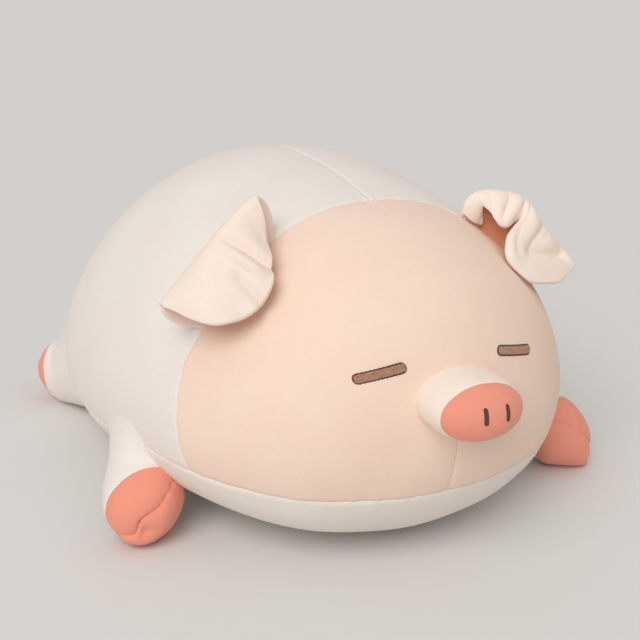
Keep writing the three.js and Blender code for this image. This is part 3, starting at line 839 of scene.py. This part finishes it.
def make_body_panels():
    """Face, two back and belly panels between the seam curves, and the fibre under them."""
    one = np.ones(1)
    corner_angle = halved(
        one, -1.2, math.pi / 2, lambda a: over_belly(body_point(face_seam(a))) < 0
    )
    corner = face_seam(corner_angle)[0]
    corner_heading = math.atan2(corner[0], corner[1])
    crown = halved(one, -1.0, 0.5, lambda a: before_face(body_point(spine(a))) > 0)[0]
    rump = halved(one, 1.0, 2.6, lambda a: over_belly(body_point(spine(a))) > 0)[0]
    chin = -halved(one, 1.0, 2.6, lambda a: over_belly(body_point(spine(-a))) > 0)[0]

    def along_belly(end):
        headings = np.linspace(corner_heading, end, 400)
        return evenly(round_upright(belly_seam(headings), headings))

    up_face, face_length = evenly(face_seam(np.linspace(corner_angle[0], math.pi / 2, 400)))
    to_rump, rump_length = along_belly(math.pi / 2)
    to_chin, chin_length = along_belly(-math.pi / 2)
    up_spine, spine_length = evenly(spine(np.linspace(rump, crown, 400)))
    up_nose, nose_length = evenly(spine(np.linspace(chin, crown, 400)))

    rows, columns = graded(spine_length), graded(rump_length, near=False)
    back = three_cornered(to_rump, up_face, up_spine, columns, rows)
    left = cover(*lipped(back, ("low", "high", "far")), SPINE_TUCK)
    for name, points in (("left", left), ("right", left * MIRROR)):
        names = f"plush_back_{name}", f"back_panel_{name}"
        cloth(*names, points, WHITE_CLOTH, BODY_MIDDLE, rounded=False)

    rows, columns = graded(nose_length), graded(max(chin_length, face_length), near=False)
    half = three_cornered(to_chin, up_face, up_nose, columns, rows)
    from_crown = nose_length * (1 - rows)
    dart = DART_TUCK * np.clip(1 - from_crown / DART_LENGTH, 0, 1) ** 0.7
    chin_seam = CHIN_TUCK * (1 - eased(body_point(up_nose(rows))[:, 2], *CHIN_SEAM_HEIGHTS))
    middle_tuck = np.pad(dart + chin_seam, 2, mode="edge")[:, None]
    left = cover(*lipped(half, ("low", "high")), middle_tuck)
    full = np.concatenate([left, left[:, -2::-1] * MIRROR], 1)
    cloth("plush_face", "face_panel", full, PEACH_CLOTH, BODY_MIDDLE, rounded=False)

    headings = full_turn(520)
    down = graded(BELLY_REACH, far=False)[:, None]
    latitude = mix(belly_seam(headings), -math.pi / 2, down)
    disc = round_upright(latitude, headings + 0 * down)
    belly = cover(*lipped(disc, ("low",)), 0.0)
    cloth("plush_belly", "belly_panel", belly, WHITE_CLOTH, BODY_MIDDLE)

    latitude = np.linspace(-math.pi / 2, math.pi / 2, 60)[:, None]
    ball = round_axis(latitude, full_turn(96))
    points, normals = body_point(ball), body_normal(ball)
    near = np.minimum(np.minimum(*seam_reaches(points, normals)), np.abs(points[..., 0]))
    depth = FIBRE_DEPTH + FIBRE_SEAM_DEPTH * bell(near, 0, FIBRE_SEAM_WIDTH)
    mesh = sewn_grid("body_fibre", points - normals * depth[..., None], BODY_MIDDLE)
    dress("stuffing_body", mesh, FIBRE, "body_filling", fill=0.9)


make_body_panels()


# Snout

SNOUT_FACE = on_body(SNOUT_START)
for _ in range(20):
    SNOUT_FACE = on_body(SNOUT_FACE + UPRIGHT * (SNOUT_HEIGHT - SNOUT_FACE[2]))


def snout_point(share, turn, inward=0.0):
    """A squashed tube along the snout's axis whose width is the root of one less the cube of the
    share of its reach; behind the face it keeps its full width."""
    width = np.sqrt(1 - np.clip(share, 0, 1) ** SNOUT_ROUNDNESS)
    return (
        SNOUT_FACE
        + SNOUT_AXIS * (SNOUT_REACH * share)[..., None]
        + LEFTWARD * ((SNOUT_HALF_WIDTH - inward) * width * np.cos(turn))[..., None]
        + UPRIGHT * ((SNOUT_HALF_HEIGHT - inward) * width * np.sin(turn))[..., None]
    )


def snout_share(width):
    """The share of the snout's reach at which it has this share of its width."""
    return (1 - width**2) ** (1 / SNOUT_ROUNDNESS)


def make_snout():
    """The band from the face to the disc's seam, the disc, and the fibre in them."""
    turn = full_turn(240)
    root = halved(turn, -0.5, 0.6, lambda share: body_share(snout_point(share, turn))[0] < 0.99)
    share = mix(root, SNOUT_DISC_SHARE, graded(SNOUT_BAND_REACH, step=FINE_STEP)[:, None])
    pinch = SNOUT_PINCH * np.exp(-(share - root) * SNOUT_REACH / SNOUT_PINCH_REACH)
    tuck = ring_tuck(turn, (SNOUT_DISC_SHARE - share) * SNOUT_REACH, SNOUT_TUCK_WIDTH)
    turned = [snout_point(share[-1:], turn, tuck[-1:] + lip) for lip in RING_LIPS]
    band = np.concatenate([snout_point(share, turn + 0 * share, pinch + tuck), *turned])
    inside = SNOUT_FACE + SNOUT_AXIS * SNOUT_REACH * 0.2
    cloth("snout_band_cover", "snout_band", band, CREAM_CLOTH, inside)

    rows = graded(SNOUT_REACH, far=False, step=FINE_STEP)[:, None]
    turns = turn + 0 * rows
    disc = snout_point(
        snout_share(math.sqrt(1 - SNOUT_DISC_SHARE**SNOUT_ROUNDNESS) * (1 - rows)), turns
    )
    centre = SNOUT_FACE + SNOUT_AXIS * SNOUT_REACH * 0.4
    normals = unit(disc - centre)
    disc = disc - normals * ring_tuck(turns, rows * SNOUT_REACH, SNOUT_TUCK_WIDTH)[..., None]
    disc = np.concatenate([*lips(disc[:1], normals[:1])[::-1], disc])
    cloth("snout_disc_cover", "snout_disc", disc, CORAL_CLOTH, centre)

    rows, turn = np.linspace(0, 1, 40)[:, None], full_turn(60)
    front = snout_share(np.sin(rows * math.pi / 2)) * SNOUT_FIBRE_ENDS[0]
    front = snout_point(front, turn + 0 * front, SNOUT_FIBRE_INSET)
    back = snout_point(SNOUT_FIBRE_ENDS[1] + 0 * rows, turn + 0 * rows) - SNOUT_FACE
    back = SNOUT_FACE + back * (SNOUT_FIBRE_TAPER * (1 - rows))[..., None]
    mesh = sewn_grid("snout_fibre", np.concatenate([front, back[1:]]))
    dress("stuffing_snout", mesh, FIBRE, "snout_filling", fill=0.9)


make_snout()


# Stitched bars


def thread_bar(length, width):
    """A bar with round ends on its own grid: its place along and across, its height over the cloth
    and how much painted shade it gets, full at its edge and partly in the gaps between threads.
    Threads cross it side by side, each a small ridge."""
    along = np.linspace(-1, 1, int(length / THREAD_PITCH) * 8 + 1)[:, None]
    across = np.linspace(-1, 1, 33)[None]
    past = np.maximum(np.abs(along) * length / 2 - (length - width) / 2, 0)
    reach = np.sqrt(np.maximum((width / 2) ** 2 - past**2, 0))
    x = along * length / 2 + 0 * across
    jitter = 0.05 * np.sin(x * TURN / THREAD_PITCH * 0.37) + 0.03 * np.sin(x * TURN / 0.0031)
    y = across * reach * (1 + jitter * (np.abs(across) > 0.8))
    inset = np.minimum(reach * (1 - np.abs(across)), length / 2 - np.abs(x))
    crown = np.sqrt(1 - np.clip(1 - inset / (0.35 * width), 0, 1) ** 2)
    ridge = np.abs(np.cos(x * math.pi / THREAD_PITCH + 5.0 * y / width))
    height = THREAD_HEIGHT * crown * (0.82 + 0.18 * ridge)
    # Painted shade: full at the bar's edge, fading inwards, and partly in the gaps between the
    # thread ridges
    edge = 1 - eased(inset, *THREAD_SHADE_INSETS) + 0.35 * (1 - ridge) * crown
    return x, y, height, np.clip(edge, 0, 1)


def make_bar(kind, side, thread, size, turn, place):
    """A stitched bar laid on cloth: place takes flat coordinates and a height over the cloth."""
    x, y, height, edge = thread_bar(*size)
    flat = x * math.cos(turn) - y * math.sin(turn), x * math.sin(turn) + y * math.cos(turn)
    points, quads = two_faced(place(*flat, height), place(*flat, 0 * height - THREAD_ROOT))
    name = f"stitched_{kind}_{side}"
    # The bar's buried underside gets full painted shade
    mesh = sewn(name, points, quads, edge=np.concatenate([edge, edge[::-1] * 0 + 1]))
    dress(name, mesh, thread, f"{kind}_{side}")


def on_face(x, z):
    """Points of the face at a side place and a height, found by halving along the length."""
    y = halved(x, -0.30, 0.0, lambda y: body_share(np.stack([x, y, z], -1))[0] > 1)
    return np.stack([x, y, z], -1)


def make_face():
    """Two closed eyes on the face and two nostrils on the disc."""
    for name, side in (("right", -1), ("left", 1)):

        def eye_place(x, y, height, middle=EYE_PLACES[name]):
            points = on_face(middle[0] + x, middle[1] + y)
            raised = (height + lumps(points))[..., None]
            return points + body_normal(body_share(points)[1]) * raised

        def nostril_place(x, y, height, side=side):
            across = (side * NOSTRIL_SPACING / 2 + x) / SNOUT_HALF_WIDTH
            over = (y + NOSTRIL_RISE) / SNOUT_HALF_HEIGHT
            share = snout_share(np.hypot(across, over))
            return snout_point(share, np.arctan2(over, across)) + SNOUT_AXIS * height[..., None]

        make_bar("eye", name, EYE_THREAD, EYE_SIZE, -side * EYE_TILT, eye_place)
        make_bar("nostril", name, NOSTRIL_THREAD, NOSTRIL_SIZE, math.pi / 2, nostril_place)


make_face()


# Legs


def level_way(side, yaw):
    """A level direction at a yaw, before or behind the side that it points to."""
    return np.array([side * math.cos(yaw), math.sin(yaw), 0.0])


def leg_frame(leg):
    """The foot's middle, the way the leg points and the way across it."""
    part = LEGS[leg]
    along = level_way(part["side"], part["yaw"])
    return np.array([*part["foot"], FOOT_HEIGHT]), along, np.cross(UPRIGHT, along)


def leg_point(leg, share, turn, wider=0.0):
    """An egg-shaped stub. Before the foot its rings shrink as the root of one less the share
    squared and sink towards the toe with the share squared. Behind it they ease into the root at
    the body."""
    part = LEGS[leg]
    foot, along, across = leg_frame(leg)
    ahead = np.clip(share, 0, 1)
    rounding = np.sqrt(1 - ahead**2)
    to_root = eased(-share, 0, 1)
    width = mix(FOOT_HALF_WIDTH, ROOT_HALF_WIDTH, to_root) * rounding + wider
    height = mix(FOOT_HALF_HEIGHT, part["root_half_height"], to_root) * rounding + wider
    reach = np.where(share > 0, FOOT_HALF_LENGTH, part["root_reach"]) * share
    lift = mix(0, part["root_height"] - FOOT_HEIGHT, to_root) - part["toe_drop"] * ahead**2
    points = foot + along * reach[..., None] + across * (width * np.cos(turn))[..., None]
    return above_floor(points + UPRIGHT * (lift + height * np.sin(turn))[..., None])


def meets_body(leg, turn, share):
    """The station at which the leg comes out of the body, or out of a share of it, by halving."""
    return halved(
        turn, -3.5, 0.9, lambda station: body_share(leg_point(leg, station, turn))[0] < share
    )


def hoof_rim(leg, turn):
    """The station of the rim where the sleeve ends, which lies in a leaning plane, by halving."""
    part = LEGS[leg]
    foot, along, _ = leg_frame(leg)
    yaw = part["yaw"] + part["hoof_turn"] * math.copysign(1, part["yaw"])
    facing = level_way(part["side"], yaw) * math.cos(HOOF_DIP) - UPRIGHT * math.sin(HOOF_DIP)
    place = foot + along * part["hoof_edge"]
    return halved(
        turn, -1.5, 0.98, lambda station: (leg_point(leg, station, turn) - place) @ facing < 0
    )


def evened(rings, times):
    """Rings whose points are averaged with their two neighbours round the ring, so many times."""
    for _ in range(times):
        rings = rings / 2 + (np.roll(rings, 1, 1) + np.roll(rings, -1, 1)) / 4
    return rings


def sleeve_root(leg, turn, rim):
    """The sleeve's ring on the body, its ring in the corner between the body and the leg, and how
    far the cloth flares. The ring on the body lies away from the corner along the body, a little
    against the leg's way. On the side that faces the belly it lies hidden in the body instead."""
    part = LEGS[leg]
    foot, along, across = leg_frame(leg)
    corner = evened(np.minimum(meets_body(leg, turn, CORNER_SHARE), rim - CORNER_GAP), 30)
    bend = leg_point(leg, corner, turn)
    beside_corner = np.concatenate([corner - CORNER_STEP, corner + CORNER_STEP])
    pull = grid_normals(leg_point(leg, beside_corner, turn), foot)[:1] - FLARE_PULL * along
    facing = body_normal(body_share(bend)[1])
    away = unit(pull - facing * np.sum(pull * facing, -1, keepdims=True))
    rise, inner = np.sin(turn), -np.sign(across @ foot) * np.cos(turn)
    above, beside, below, within = part["flare"]
    beside = mix(beside, within, eased(inner, *INNER_FLARE))
    flare = beside + (above - below) / 2 * rise + ((above + below) / 2 - beside) * rise**2
    start = on_body(bend + away * flare[..., None])
    normals = body_normal(body_share(start)[1])
    sunk = SLEEVE_SUNK + tucked(seam_reaches(start, normals)[1], BELLY_TUCK) - lumps(start)
    start = start - normals * sunk[..., None]
    behind = corner - SLEEVE_HIDDEN / part["root_reach"]
    inside = leg_point(leg, behind, turn, -SLEEVE_HIDDEN_INSET)
    start = mix(start, inside, eased(inner, *INNER_HIDDEN)[..., None])
    onward = mix(corner, rim, np.clip(CURVE_START + flare / CURVE_FLARE, 0, CURVE_LONGEST))
    straight = (start + leg_point(leg, onward, turn)) / 2
    fullness = part["fullness"] * (1 - eased(inner, *INNER_THINNED))[..., None]
    return start, mix(bend, straight, fullness), onward


def make_sleeve(leg):
    """White cloth from the body to the hoof's rim. A wide curve of three points eases it into the
    body: one on the body, one in the corner between them and one on the leg. Rows are averaged with
    their neighbours, less near the rim. It returns a line from its root to the rim, between the
    body and the leg."""
    turn = full_turn(200)
    foot = leg_frame(leg)[0]
    rim = hoof_rim(leg, turn)
    start, bend, onward = sleeve_root(leg, turn, rim)
    t = np.linspace(0, 1, SLEEVE_CURVE_ROWS)[:, None, None]
    curve = (1 - t) ** 2 * start + 2 * t * (1 - t) * bend + t * t * leg_point(leg, onward, turn)
    share = mix(onward, rim, graded(SLEEVE_LENGTH, near=False, step=SLEEVE_STEP)[1:, None])
    sleeve = np.concatenate([evened(curve, 20), leg_point(leg, share, turn + 0 * share)])
    to_rim = (rim - share) * FOOT_HALF_LENGTH / SLEEVE_HELD
    hold = np.concatenate([np.ones((SLEEVE_CURVE_ROWS, turn.size)), to_rim])
    hold = eased(hold, 0.3, 1.0)[1:-1, :, None] / 4
    for _ in range(16):
        sleeve[1:-1] += (sleeve[:-2] + sleeve[2:] - 2 * sleeve[1:-1]) * hold
    from_rim = (rim - share) * np.where(share > 0, FOOT_HALF_LENGTH, LEGS[leg]["root_reach"])
    normals = grid_normals(sleeve, foot)
    tuck = ring_tuck(turn, from_rim)[..., None]
    sleeve[SLEEVE_CURVE_ROWS:] -= normals[SLEEVE_CURVE_ROWS:] * tuck
    sleeve = above_floor(np.concatenate([sleeve, *lips(sleeve[-1:], normals[-1:])]))
    ends = sleeve[0], leg_point(leg, rim, turn)[0]
    way = unit(unit(ends[1].mean(0) - ends[0].mean(0)) - SLEEVE_LEAN * UPRIGHT)
    low, high = np.max(ends[0] @ way), np.min(ends[1] @ way)
    between = blend_line("body", leg, *(foot + way * (end - foot @ way) for end in (low, high)))
    cloth(f"{leg}_sleeve_cover", f"{leg}_sleeve", sleeve, WHITE_CLOTH, foot, between=between)
    return between


def hoof_point(leg, directions):
    """The leg's surface for directions from the foot, given along, across and up."""
    ahead, beside, over = np.moveaxis(directions, -1, 0)
    share = np.where(ahead > 0, ahead, ahead * FOOT_HALF_LENGTH / LEGS[leg]["root_reach"])
    return leg_point(leg, share, np.arctan2(over, beside))


def rim_direction(leg, turn):
    """The direction from the foot of the hoof's rim at a turn round the leg."""
    rim = hoof_rim(leg, turn)
    ahead = np.where(rim > 0, rim, rim * LEGS[leg]["root_reach"] / FOOT_HALF_LENGTH)
    aside = np.sqrt(1 - ahead**2)
    return np.stack([ahead, aside * np.cos(turn), aside * np.sin(turn)], -1)


def great_circle(first, second, share):
    """Directions on the shortest arc between two, by the sines of the arc's two parts."""
    arc = np.arccos(np.clip(np.sum(first * second, -1), -1, 1))[..., None]
    arc = np.maximum(arc, 1e-4)
    return unit(np.sin((1 - share) * arc) * first + np.sin(share * arc) * second)


def hoof_folds(from_seam, from_rim, swing, sole):
    """How far a hoof's cloth sinks beside its seam: a cleft, deepest and widest over the toe, fine
    gathers, and on the sole's side a dent. Swing is the angle along the seam from the toe."""
    toe = bell(swing, 0, TOE_SPREAD)
    depth = CLEFT_DEPTH + TOE_DEPTH * toe * eased(from_rim, 0.002, 0.012)
    cleft = depth * np.exp(-from_seam / mix(CLEFT_REACH, TOE_REACH, toe))
    if sole:
        dent = bell(swing, *DENT_SWING) * bell(from_seam, *DENT_PLACE)
        cleft = cleft + DENT_DEPTH * dent * eased(from_seam, 0.0, 0.006)
    gathers = GATHER_HEIGHT * np.sin(swing * 34 + 2 * np.sin(swing * 9))
    return cleft + gathers * np.exp(-from_seam / GATHER_REACH)


def make_hoof(leg):
    """Two halves sewn over the toe. Each is a patch of arcs from the seam to the rim, pinched in
    along the seam, most in the middle. The seam sways to one side before the toe and to the other
    behind it."""
    foot, along, across = leg_frame(leg)
    axes = np.stack([along, across, UPRIGHT])
    inward = -np.sign(across @ foot)
    ahead = np.array([1.0, 0.0, 0.0])
    soleward = np.array([0.0, inward * math.sin(HOOF_SEAM_ROLL), -math.cos(HOOF_SEAM_ROLL)])
    seamward = np.cross(ahead, soleward)
    shares = (np.linspace(-1, 1, 141) + 1) / 2
    rows = graded(0.05, step=FINE_STEP)[:, None, None]
    ends = [math.atan2(way * seamward[2], way * seamward[1]) for way in (-1, 1)]
    corners = rim_direction(leg, np.array(ends))
    latitude = mix(*np.arctan2(corners @ seamward, corners[:, 0]), shares)
    seam = np.cos(latitude)[:, None] * ahead + np.sin(latitude)[:, None] * seamward
    for half, way in (("top", -1), ("sole", 1)):
        middle = math.atan2(way * soleward[2], way * soleward[1])
        reaches = (np.array(ends) - middle + math.pi) % TURN - math.pi
        rim = rim_direction(leg, middle + mix(*reaches, shares))
        directions = great_circle(seam[None], rim[None], rows)
        normals = skin_normal(lambda ways: hoof_point(leg, ways), directions, foot)
        from_seam = np.abs(directions @ soleward) * FOOT_HALF_WIDTH
        turn = np.arctan2(directions[..., 2], directions[..., 1])
        to_toe = [
            np.arccos(np.clip(part, -1, 1))
            for part in (rim_direction(leg, turn)[..., 0], directions[..., 0])
        ]
        from_rim = np.maximum(to_toe[0] - to_toe[1], 0) * FOOT_HALF_WIDTH
        swing = np.arctan2(directions @ seamward, directions[..., 0]) * inward
        sunk = hoof_folds(from_seam, from_rim, swing, way > 0) + ring_tuck(turn, from_rim)
        points = hoof_point(leg, directions) - normals * sunk[..., None]
        sway = sum(reach * bell(swing, *place) for reach, *place in HOOF_SWAYS)
        sway = sway * np.exp(-from_seam / SWAY_REACH) * (1 - rows[..., 0])
        points = points - (axes.T @ soleward) * sway[..., None]
        inner_lips = lips(points[:1], normals[:1])[::-1]
        points = np.concatenate([*inner_lips, points, *lips(points[-1:], normals[-1:])])
        name = f"{leg}_hoof_{half}"
        points = above_floor(points)
        cloth(f"{name}_cover", name, points, CORAL_CLOTH, foot, rounded=False, body=leg)


def make_leg_fibre(leg, between):
    """The leg's own form, smaller, closed behind by a flat end and before by a blunt tip behind the
    cleft."""
    foot, along, _ = leg_frame(leg)
    turn = full_turn(96)
    corner = np.minimum(meets_body(leg, turn, 0.99), -0.05)
    rows = np.sin(np.linspace(0, 1, 30) * math.pi / 2)[:, None]
    share = mix(corner + LEG_FIBRE_START, LEG_FIBRE_END, rows)
    fibre = leg_point(leg, share, turn + 0 * share, -LEG_FIBRE_INSET)
    middle = fibre[0].mean(0) + along * 0.004
    tip = foot + along * (FOOT_HALF_LENGTH - LEG_FIBRE_TIP)
    tip = tip - UPRIGHT * (LEGS[leg]["toe_drop"] * 0.6)
    close = np.linspace(0, 1, 8)[:, None, None]
    ends = mix(middle, fibre[:1], close), mix(fibre[-1:], tip, close)[1:]
    mesh = sewn_grid(f"{leg}_fibre", np.concatenate([ends[0], fibre[1:], ends[1]]), foot)
    dress(f"stuffing_{leg}", mesh, FIBRE, f"{leg}_filling", between=between, fill=0.8)


for leg_name in LEGS:
    bend_line = make_sleeve(leg_name)
    make_hoof(leg_name)
    make_leg_fibre(leg_name, bend_line)


# Ears


def rail(points, shares):
    """A smooth curve through points at their shares: cubics that share each point's mean slope."""
    table = np.array(points, dtype=float)
    known, values = table[:, 0], table[:, 1:] * MILLIMETRE
    slopes = np.gradient(values, known, axis=0)
    place = np.clip(np.searchsorted(known, shares, side="right") - 1, 0, len(known) - 2)
    span = (known[place + 1] - known[place])[..., None]
    t = (shares[..., None] - known[place][..., None]) / span
    start, end = values[place], values[place + 1]
    leave, arrive = slopes[place] * span, slopes[place + 1] * span
    return (
        (2 * t**3 - 3 * t**2 + 1) * start + (t**3 - 2 * t**2 + t) * leave
        + (3 * t**2 - 2 * t**3) * end + (t**3 - t**2) * arrive
    )


def ear_axes(side):
    """The ear's own place and axes: the middle of its seam, across, forward and up from the
    body."""
    seam = body_point(face_seam(EAR_ANGLE + np.array([0.01, 0.0, -0.01])))
    across = unit(seam[2] - seam[0])
    forward = unit(FACEWARD - across * (FACEWARD @ across))
    up = np.cross(across, forward)
    mirror = np.array([side, 1, 1])
    return seam[1] * mirror, np.stack([across, forward, up * np.sign(up[2])]) * mirror


def ear_middle(side, ear, across, down):
    """The sheet between an ear's two layers: two curves of three points each, from the seam over
    the back line to the crest, and on over the front line to the hem. Rows are averaged with their
    neighbours thirty times and columns twelve times, which softens the folds."""
    origin, axes = ear_axes(side)
    seam = face_seam(mix(EAR_INNER_ANGLE, EAR_OUTER_ANGLE, across))
    base = (body_point(seam) - body_normal(seam) * EAR_ROOT_DEPTH) * [side, 1, 1]
    back, crest, front, hem = (origin + rail(ear[line], across) @ axes for line in EAR_LINES)
    rise = np.clip(2 * down, 0, 1)[:, None, None]
    fall = np.clip(2 * down - 1, 0, 1)[:, None, None]
    risen = (1 - rise) ** 2 * base + 2 * rise * (1 - rise) * back + rise**2 * crest
    fallen = (1 - fall) ** 2 * crest + 2 * fall * (1 - fall) * front + fall**2 * hem
    sheet = np.where(down[:, None, None] <= 0.5, risen, fallen)
    for _ in range(30):
        sheet[1:-1] += (sheet[:-2] + sheet[2:] - 2 * sheet[1:-1]) / 4
    for _ in range(12):
        sheet[:, 1:-1] += (sheet[:, :-2] + sheet[:, 2:] - 2 * sheet[:, 1:-1]) / 4
    return sheet


def crease(across, up, start, end, depth, width):
    """A valley along a line over the flap: a bell across the line, that fades at both ends."""
    a, b = np.array(start) * MILLIMETRE, np.array(end) * MILLIMETRE
    length = np.linalg.norm(b - a)
    along = (b - a) / length
    run = (across - a[0]) * along[0] + (up - a[1]) * along[1]
    aside = (up - a[1]) * along[0] - (across - a[0]) * along[1]
    fade = eased(run, -0.004, 0.007) * (1 - eased(run, length - 0.003, length + 0.008))
    return depth * MILLIMETRE * fade * bell(aside, 0, width * MILLIMETRE)


def runs(sheet, axis):
    """How far each point of a sheet lies along it from the first row or column."""
    steps = np.linalg.norm(np.diff(sheet, axis=axis), axis=-1)
    return np.insert(np.cumsum(steps, axis), 0, 0, axis)


def make_ear(name, side, ear):
    """Outer layer and lining: the middle sheet moved out and in along its normal, with round edges.
    The outer layer turns over the edge, widest behind the flap's ends, and the lining starts
    inside."""
    across = graded(EAR_WIDTH, step=EAR_STEPS[0])
    down = graded(EAR_DEPTH, near=False, step=EAR_STEPS[1])
    sheet = ear_middle(side, ear, across, down)
    origin, axes = ear_axes(side)
    inside = origin + axes[1] * 0.012 + axes[2] * 0.005
    flap = eased(down, *EAR_FLAP_SHARES)[:, None]
    place = (sheet - origin) @ axes.T
    depth = flap * sum(crease(place[..., 0], place[..., 2], *line) for line in ear["creases"])
    from_inner, from_seam = runs(sheet, 1), runs(sheet, 0)
    from_outer, from_hem = from_inner[:, -1:] - from_inner, from_seam[-1:] - from_seam
    inset = np.minimum(np.minimum(from_inner, from_outer), from_hem)
    height, first, last = ear["roll"]
    rolled = eased(across, first - 0.03, first + 0.03)
    rolled = rolled * (1 - eased(across, last - 0.05, last + 0.05))
    depth = depth - height * rolled * flap * bell(from_hem, *EAR_ROLL_PLACE)
    sheet = sheet - grid_normals(sheet, inside) * depth[..., None]
    normals = grid_normals(sheet, inside)
    rounded = np.sqrt(1 - np.clip(1 - inset / EAR_EDGE_REACH, 0, 1) ** 2)
    behind = 1 - eased(down, *EAR_BACK_SHARES)[:, None]
    at_inner, at_outer = ear["turned_in"]
    ends = np.minimum(from_inner - behind * at_inner, from_outer - behind * at_outer)
    turned = 1 - eased(np.minimum(ends, from_hem), *EAR_TURN_REACHES)

    def moved(distance):
        return sheet + normals * distance[..., None]

    outer_back = moved(mix(EAR_COVER_BACK, EAR_COVER_TURNED * rounded, turned))
    outer = two_faced(moved(EAR_COVER_FACE * rounded), outer_back)
    lining_back = moved(EAR_LINING_BACK + 0 * rounded)
    lining_face = moved(mix(EAR_LINING_FACE, EAR_LINING_TURNED, turned))
    kept = slice(0, -EAR_LINING_INSET), slice(EAR_LINING_INSET, -EAR_LINING_INSET)
    lining = two_faced(lining_back[kept], lining_face[kept])
    between = blend_line("body", f"ear_{name}", origin - axes[2] * 0.004, origin + axes[2] * 0.010)
    for piece, layer, form, finish in (
        ("cover", "outer", outer, CREAM_CLOTH), ("inside", "lining", lining, LINING_CLOTH)
    ):
        node = f"ear_{name}_{layer}"
        dress(f"ear_{name}_{piece}", sewn(node, *form), finish, node, between=between)


make_ear("right", -1, RIGHT_EAR)
make_ear("left", 1, LEFT_EAR)


# Tail


def make_tail():
    """A stuffed tube round one curl: its middle line turns as it leaves the rump, and its radius
    narrows from root to tip, with a round end."""
    pivot = on_body(TAIL_START) + RUMPWARD * (TAIL_GAP + TAIL_RADIUS)
    share = np.linspace(0, 1, 150)
    spin = share * TAIL_TURNS * TURN
    line = pivot + np.stack([
        TAIL_CURL_RADIUS * np.sin(spin),
        TAIL_PITCH * share + TAIL_ROOT_LENGTH * (1 - np.exp(-share / TAIL_ROOT_SHARE)),
        TAIL_CURL_RADIUS * (1 - np.cos(spin)),
    ], -1)
    heading = unit(np.gradient(line, axis=0))
    heading[:6] = unit(mix(RUMPWARD, heading[:6], np.linspace(0, 1, 6)[:, None]))
    across = unit(np.cross(heading, np.stack([np.sin(spin), 0 * spin, -np.cos(spin)], -1)))
    over = np.cross(across, heading)
    turn = full_turn(40)[0, :, None]
    ring = across[:, None] * np.cos(turn) + over[:, None] * np.sin(turn)
    rings = line[:, None] + ring * mix(TAIL_RADIUS, TAIL_TIP_RADIUS, share)[:, None, None]
    cap = np.linspace(0, math.pi / 2, 10)[1:, None, None]
    tip = line[-1] + heading[-1] * TAIL_TIP_RADIUS * np.sin(cap)
    tip = tip + ring[-1] * TAIL_TIP_RADIUS * np.cos(cap)
    back = np.linspace(0, 1, 8)[:-1, None, None]
    root = mix(pivot - RUMPWARD * (TAIL_RADIUS + TAIL_SUNK), pivot, back)
    root = root + ring[:1] * TAIL_RADIUS * (1 + TAIL_FLARE * (1 - back) ** 2)
    centre = root[:1].mean(1, keepdims=True) + 0 * root[:1]
    mesh = sewn_grid("tail", np.concatenate([centre, root, rings, tip]))
    between = blend_line("body", "tail", pivot - RUMPWARD * TAIL_RADIUS, pivot + RUMPWARD * 0.002)
    dress("curled_tail", mesh, CREAM_CLOTH, "tail", between=between, fill=0.8)


make_tail()


# Stage


def make_floor():
    """A plain pale floor just below the pig."""
    corners = [(x * FLOOR_REACH, y * FLOOR_REACH, -FLOOR_DEPTH) for x, y in FLOOR_CORNERS]
    mesh = bpy.data.meshes.new("floor")
    mesh.from_pydata(corners, [], [(0, 1, 2, 3)])
    floor = bpy.data.objects.new("floor", mesh)
    bpy.context.scene.collection.objects.link(floor)
    material, tree, shader, _ = fresh_material("pale_floor")
    pale = {"Base Color": colour(*FLOOR_COLOUR), "Roughness": 0.9, "Specular IOR Level": 0.1}
    wire(tree, shader, pale)
    mesh.materials.append(material)


def make_lights():
    """One wide soft sun, a weaker one overhead and a soft sky."""
    world = bpy.data.worlds.new("soft_sky")
    bpy.context.scene.world = world
    world.use_nodes = True
    wire(world.node_tree, world.node_tree.nodes["Background"], SKY)
    for name, power, angle, towards in SUNS:
        lamp = bpy.data.lights.new(name, "SUN")
        lamp.energy = power
        lamp.angle = math.radians(angle)
        holder = bpy.data.objects.new(name, lamp)
        holder.rotation_euler = Vector(towards).to_track_quat("Z", "Y").to_euler()
        bpy.context.scene.collection.objects.link(holder)


def make_camera():
    """The camera of the picture: it looks at its aim from an azimuth and an elevation, and
    rolls."""
    turn, tilt, roll = CAMERA_AZIMUTH, CAMERA_ELEVATION, CAMERA_ROLL
    level = np.array([math.cos(turn), math.sin(turn), 0.0])
    back = np.array([
        math.sin(turn) * math.cos(tilt), -math.cos(turn) * math.cos(tilt), math.sin(tilt)
    ])
    upright = np.cross(back, level)
    right = level * math.cos(roll) + upright * math.sin(roll)
    up = upright * math.cos(roll) - level * math.sin(roll)
    lens = bpy.data.cameras.new("picture_camera")
    lens.lens, lens.sensor_width = CAMERA_LENS, CAMERA_SENSOR
    lens.shift_x, lens.shift_y = CAMERA_SHIFT
    camera = bpy.data.objects.new("picture_camera", lens)
    pose = np.eye(4)
    pose[:3] = np.stack([right, up, back, CAMERA_AIM + back * CAMERA_DISTANCE], -1)
    camera.matrix_world = Matrix(pose.tolist())
    bpy.context.scene.collection.objects.link(camera)
    bpy.context.scene.camera = camera
    bpy.context.scene.view_settings.view_transform = "Standard"


make_floor()
make_lights()
make_camera()
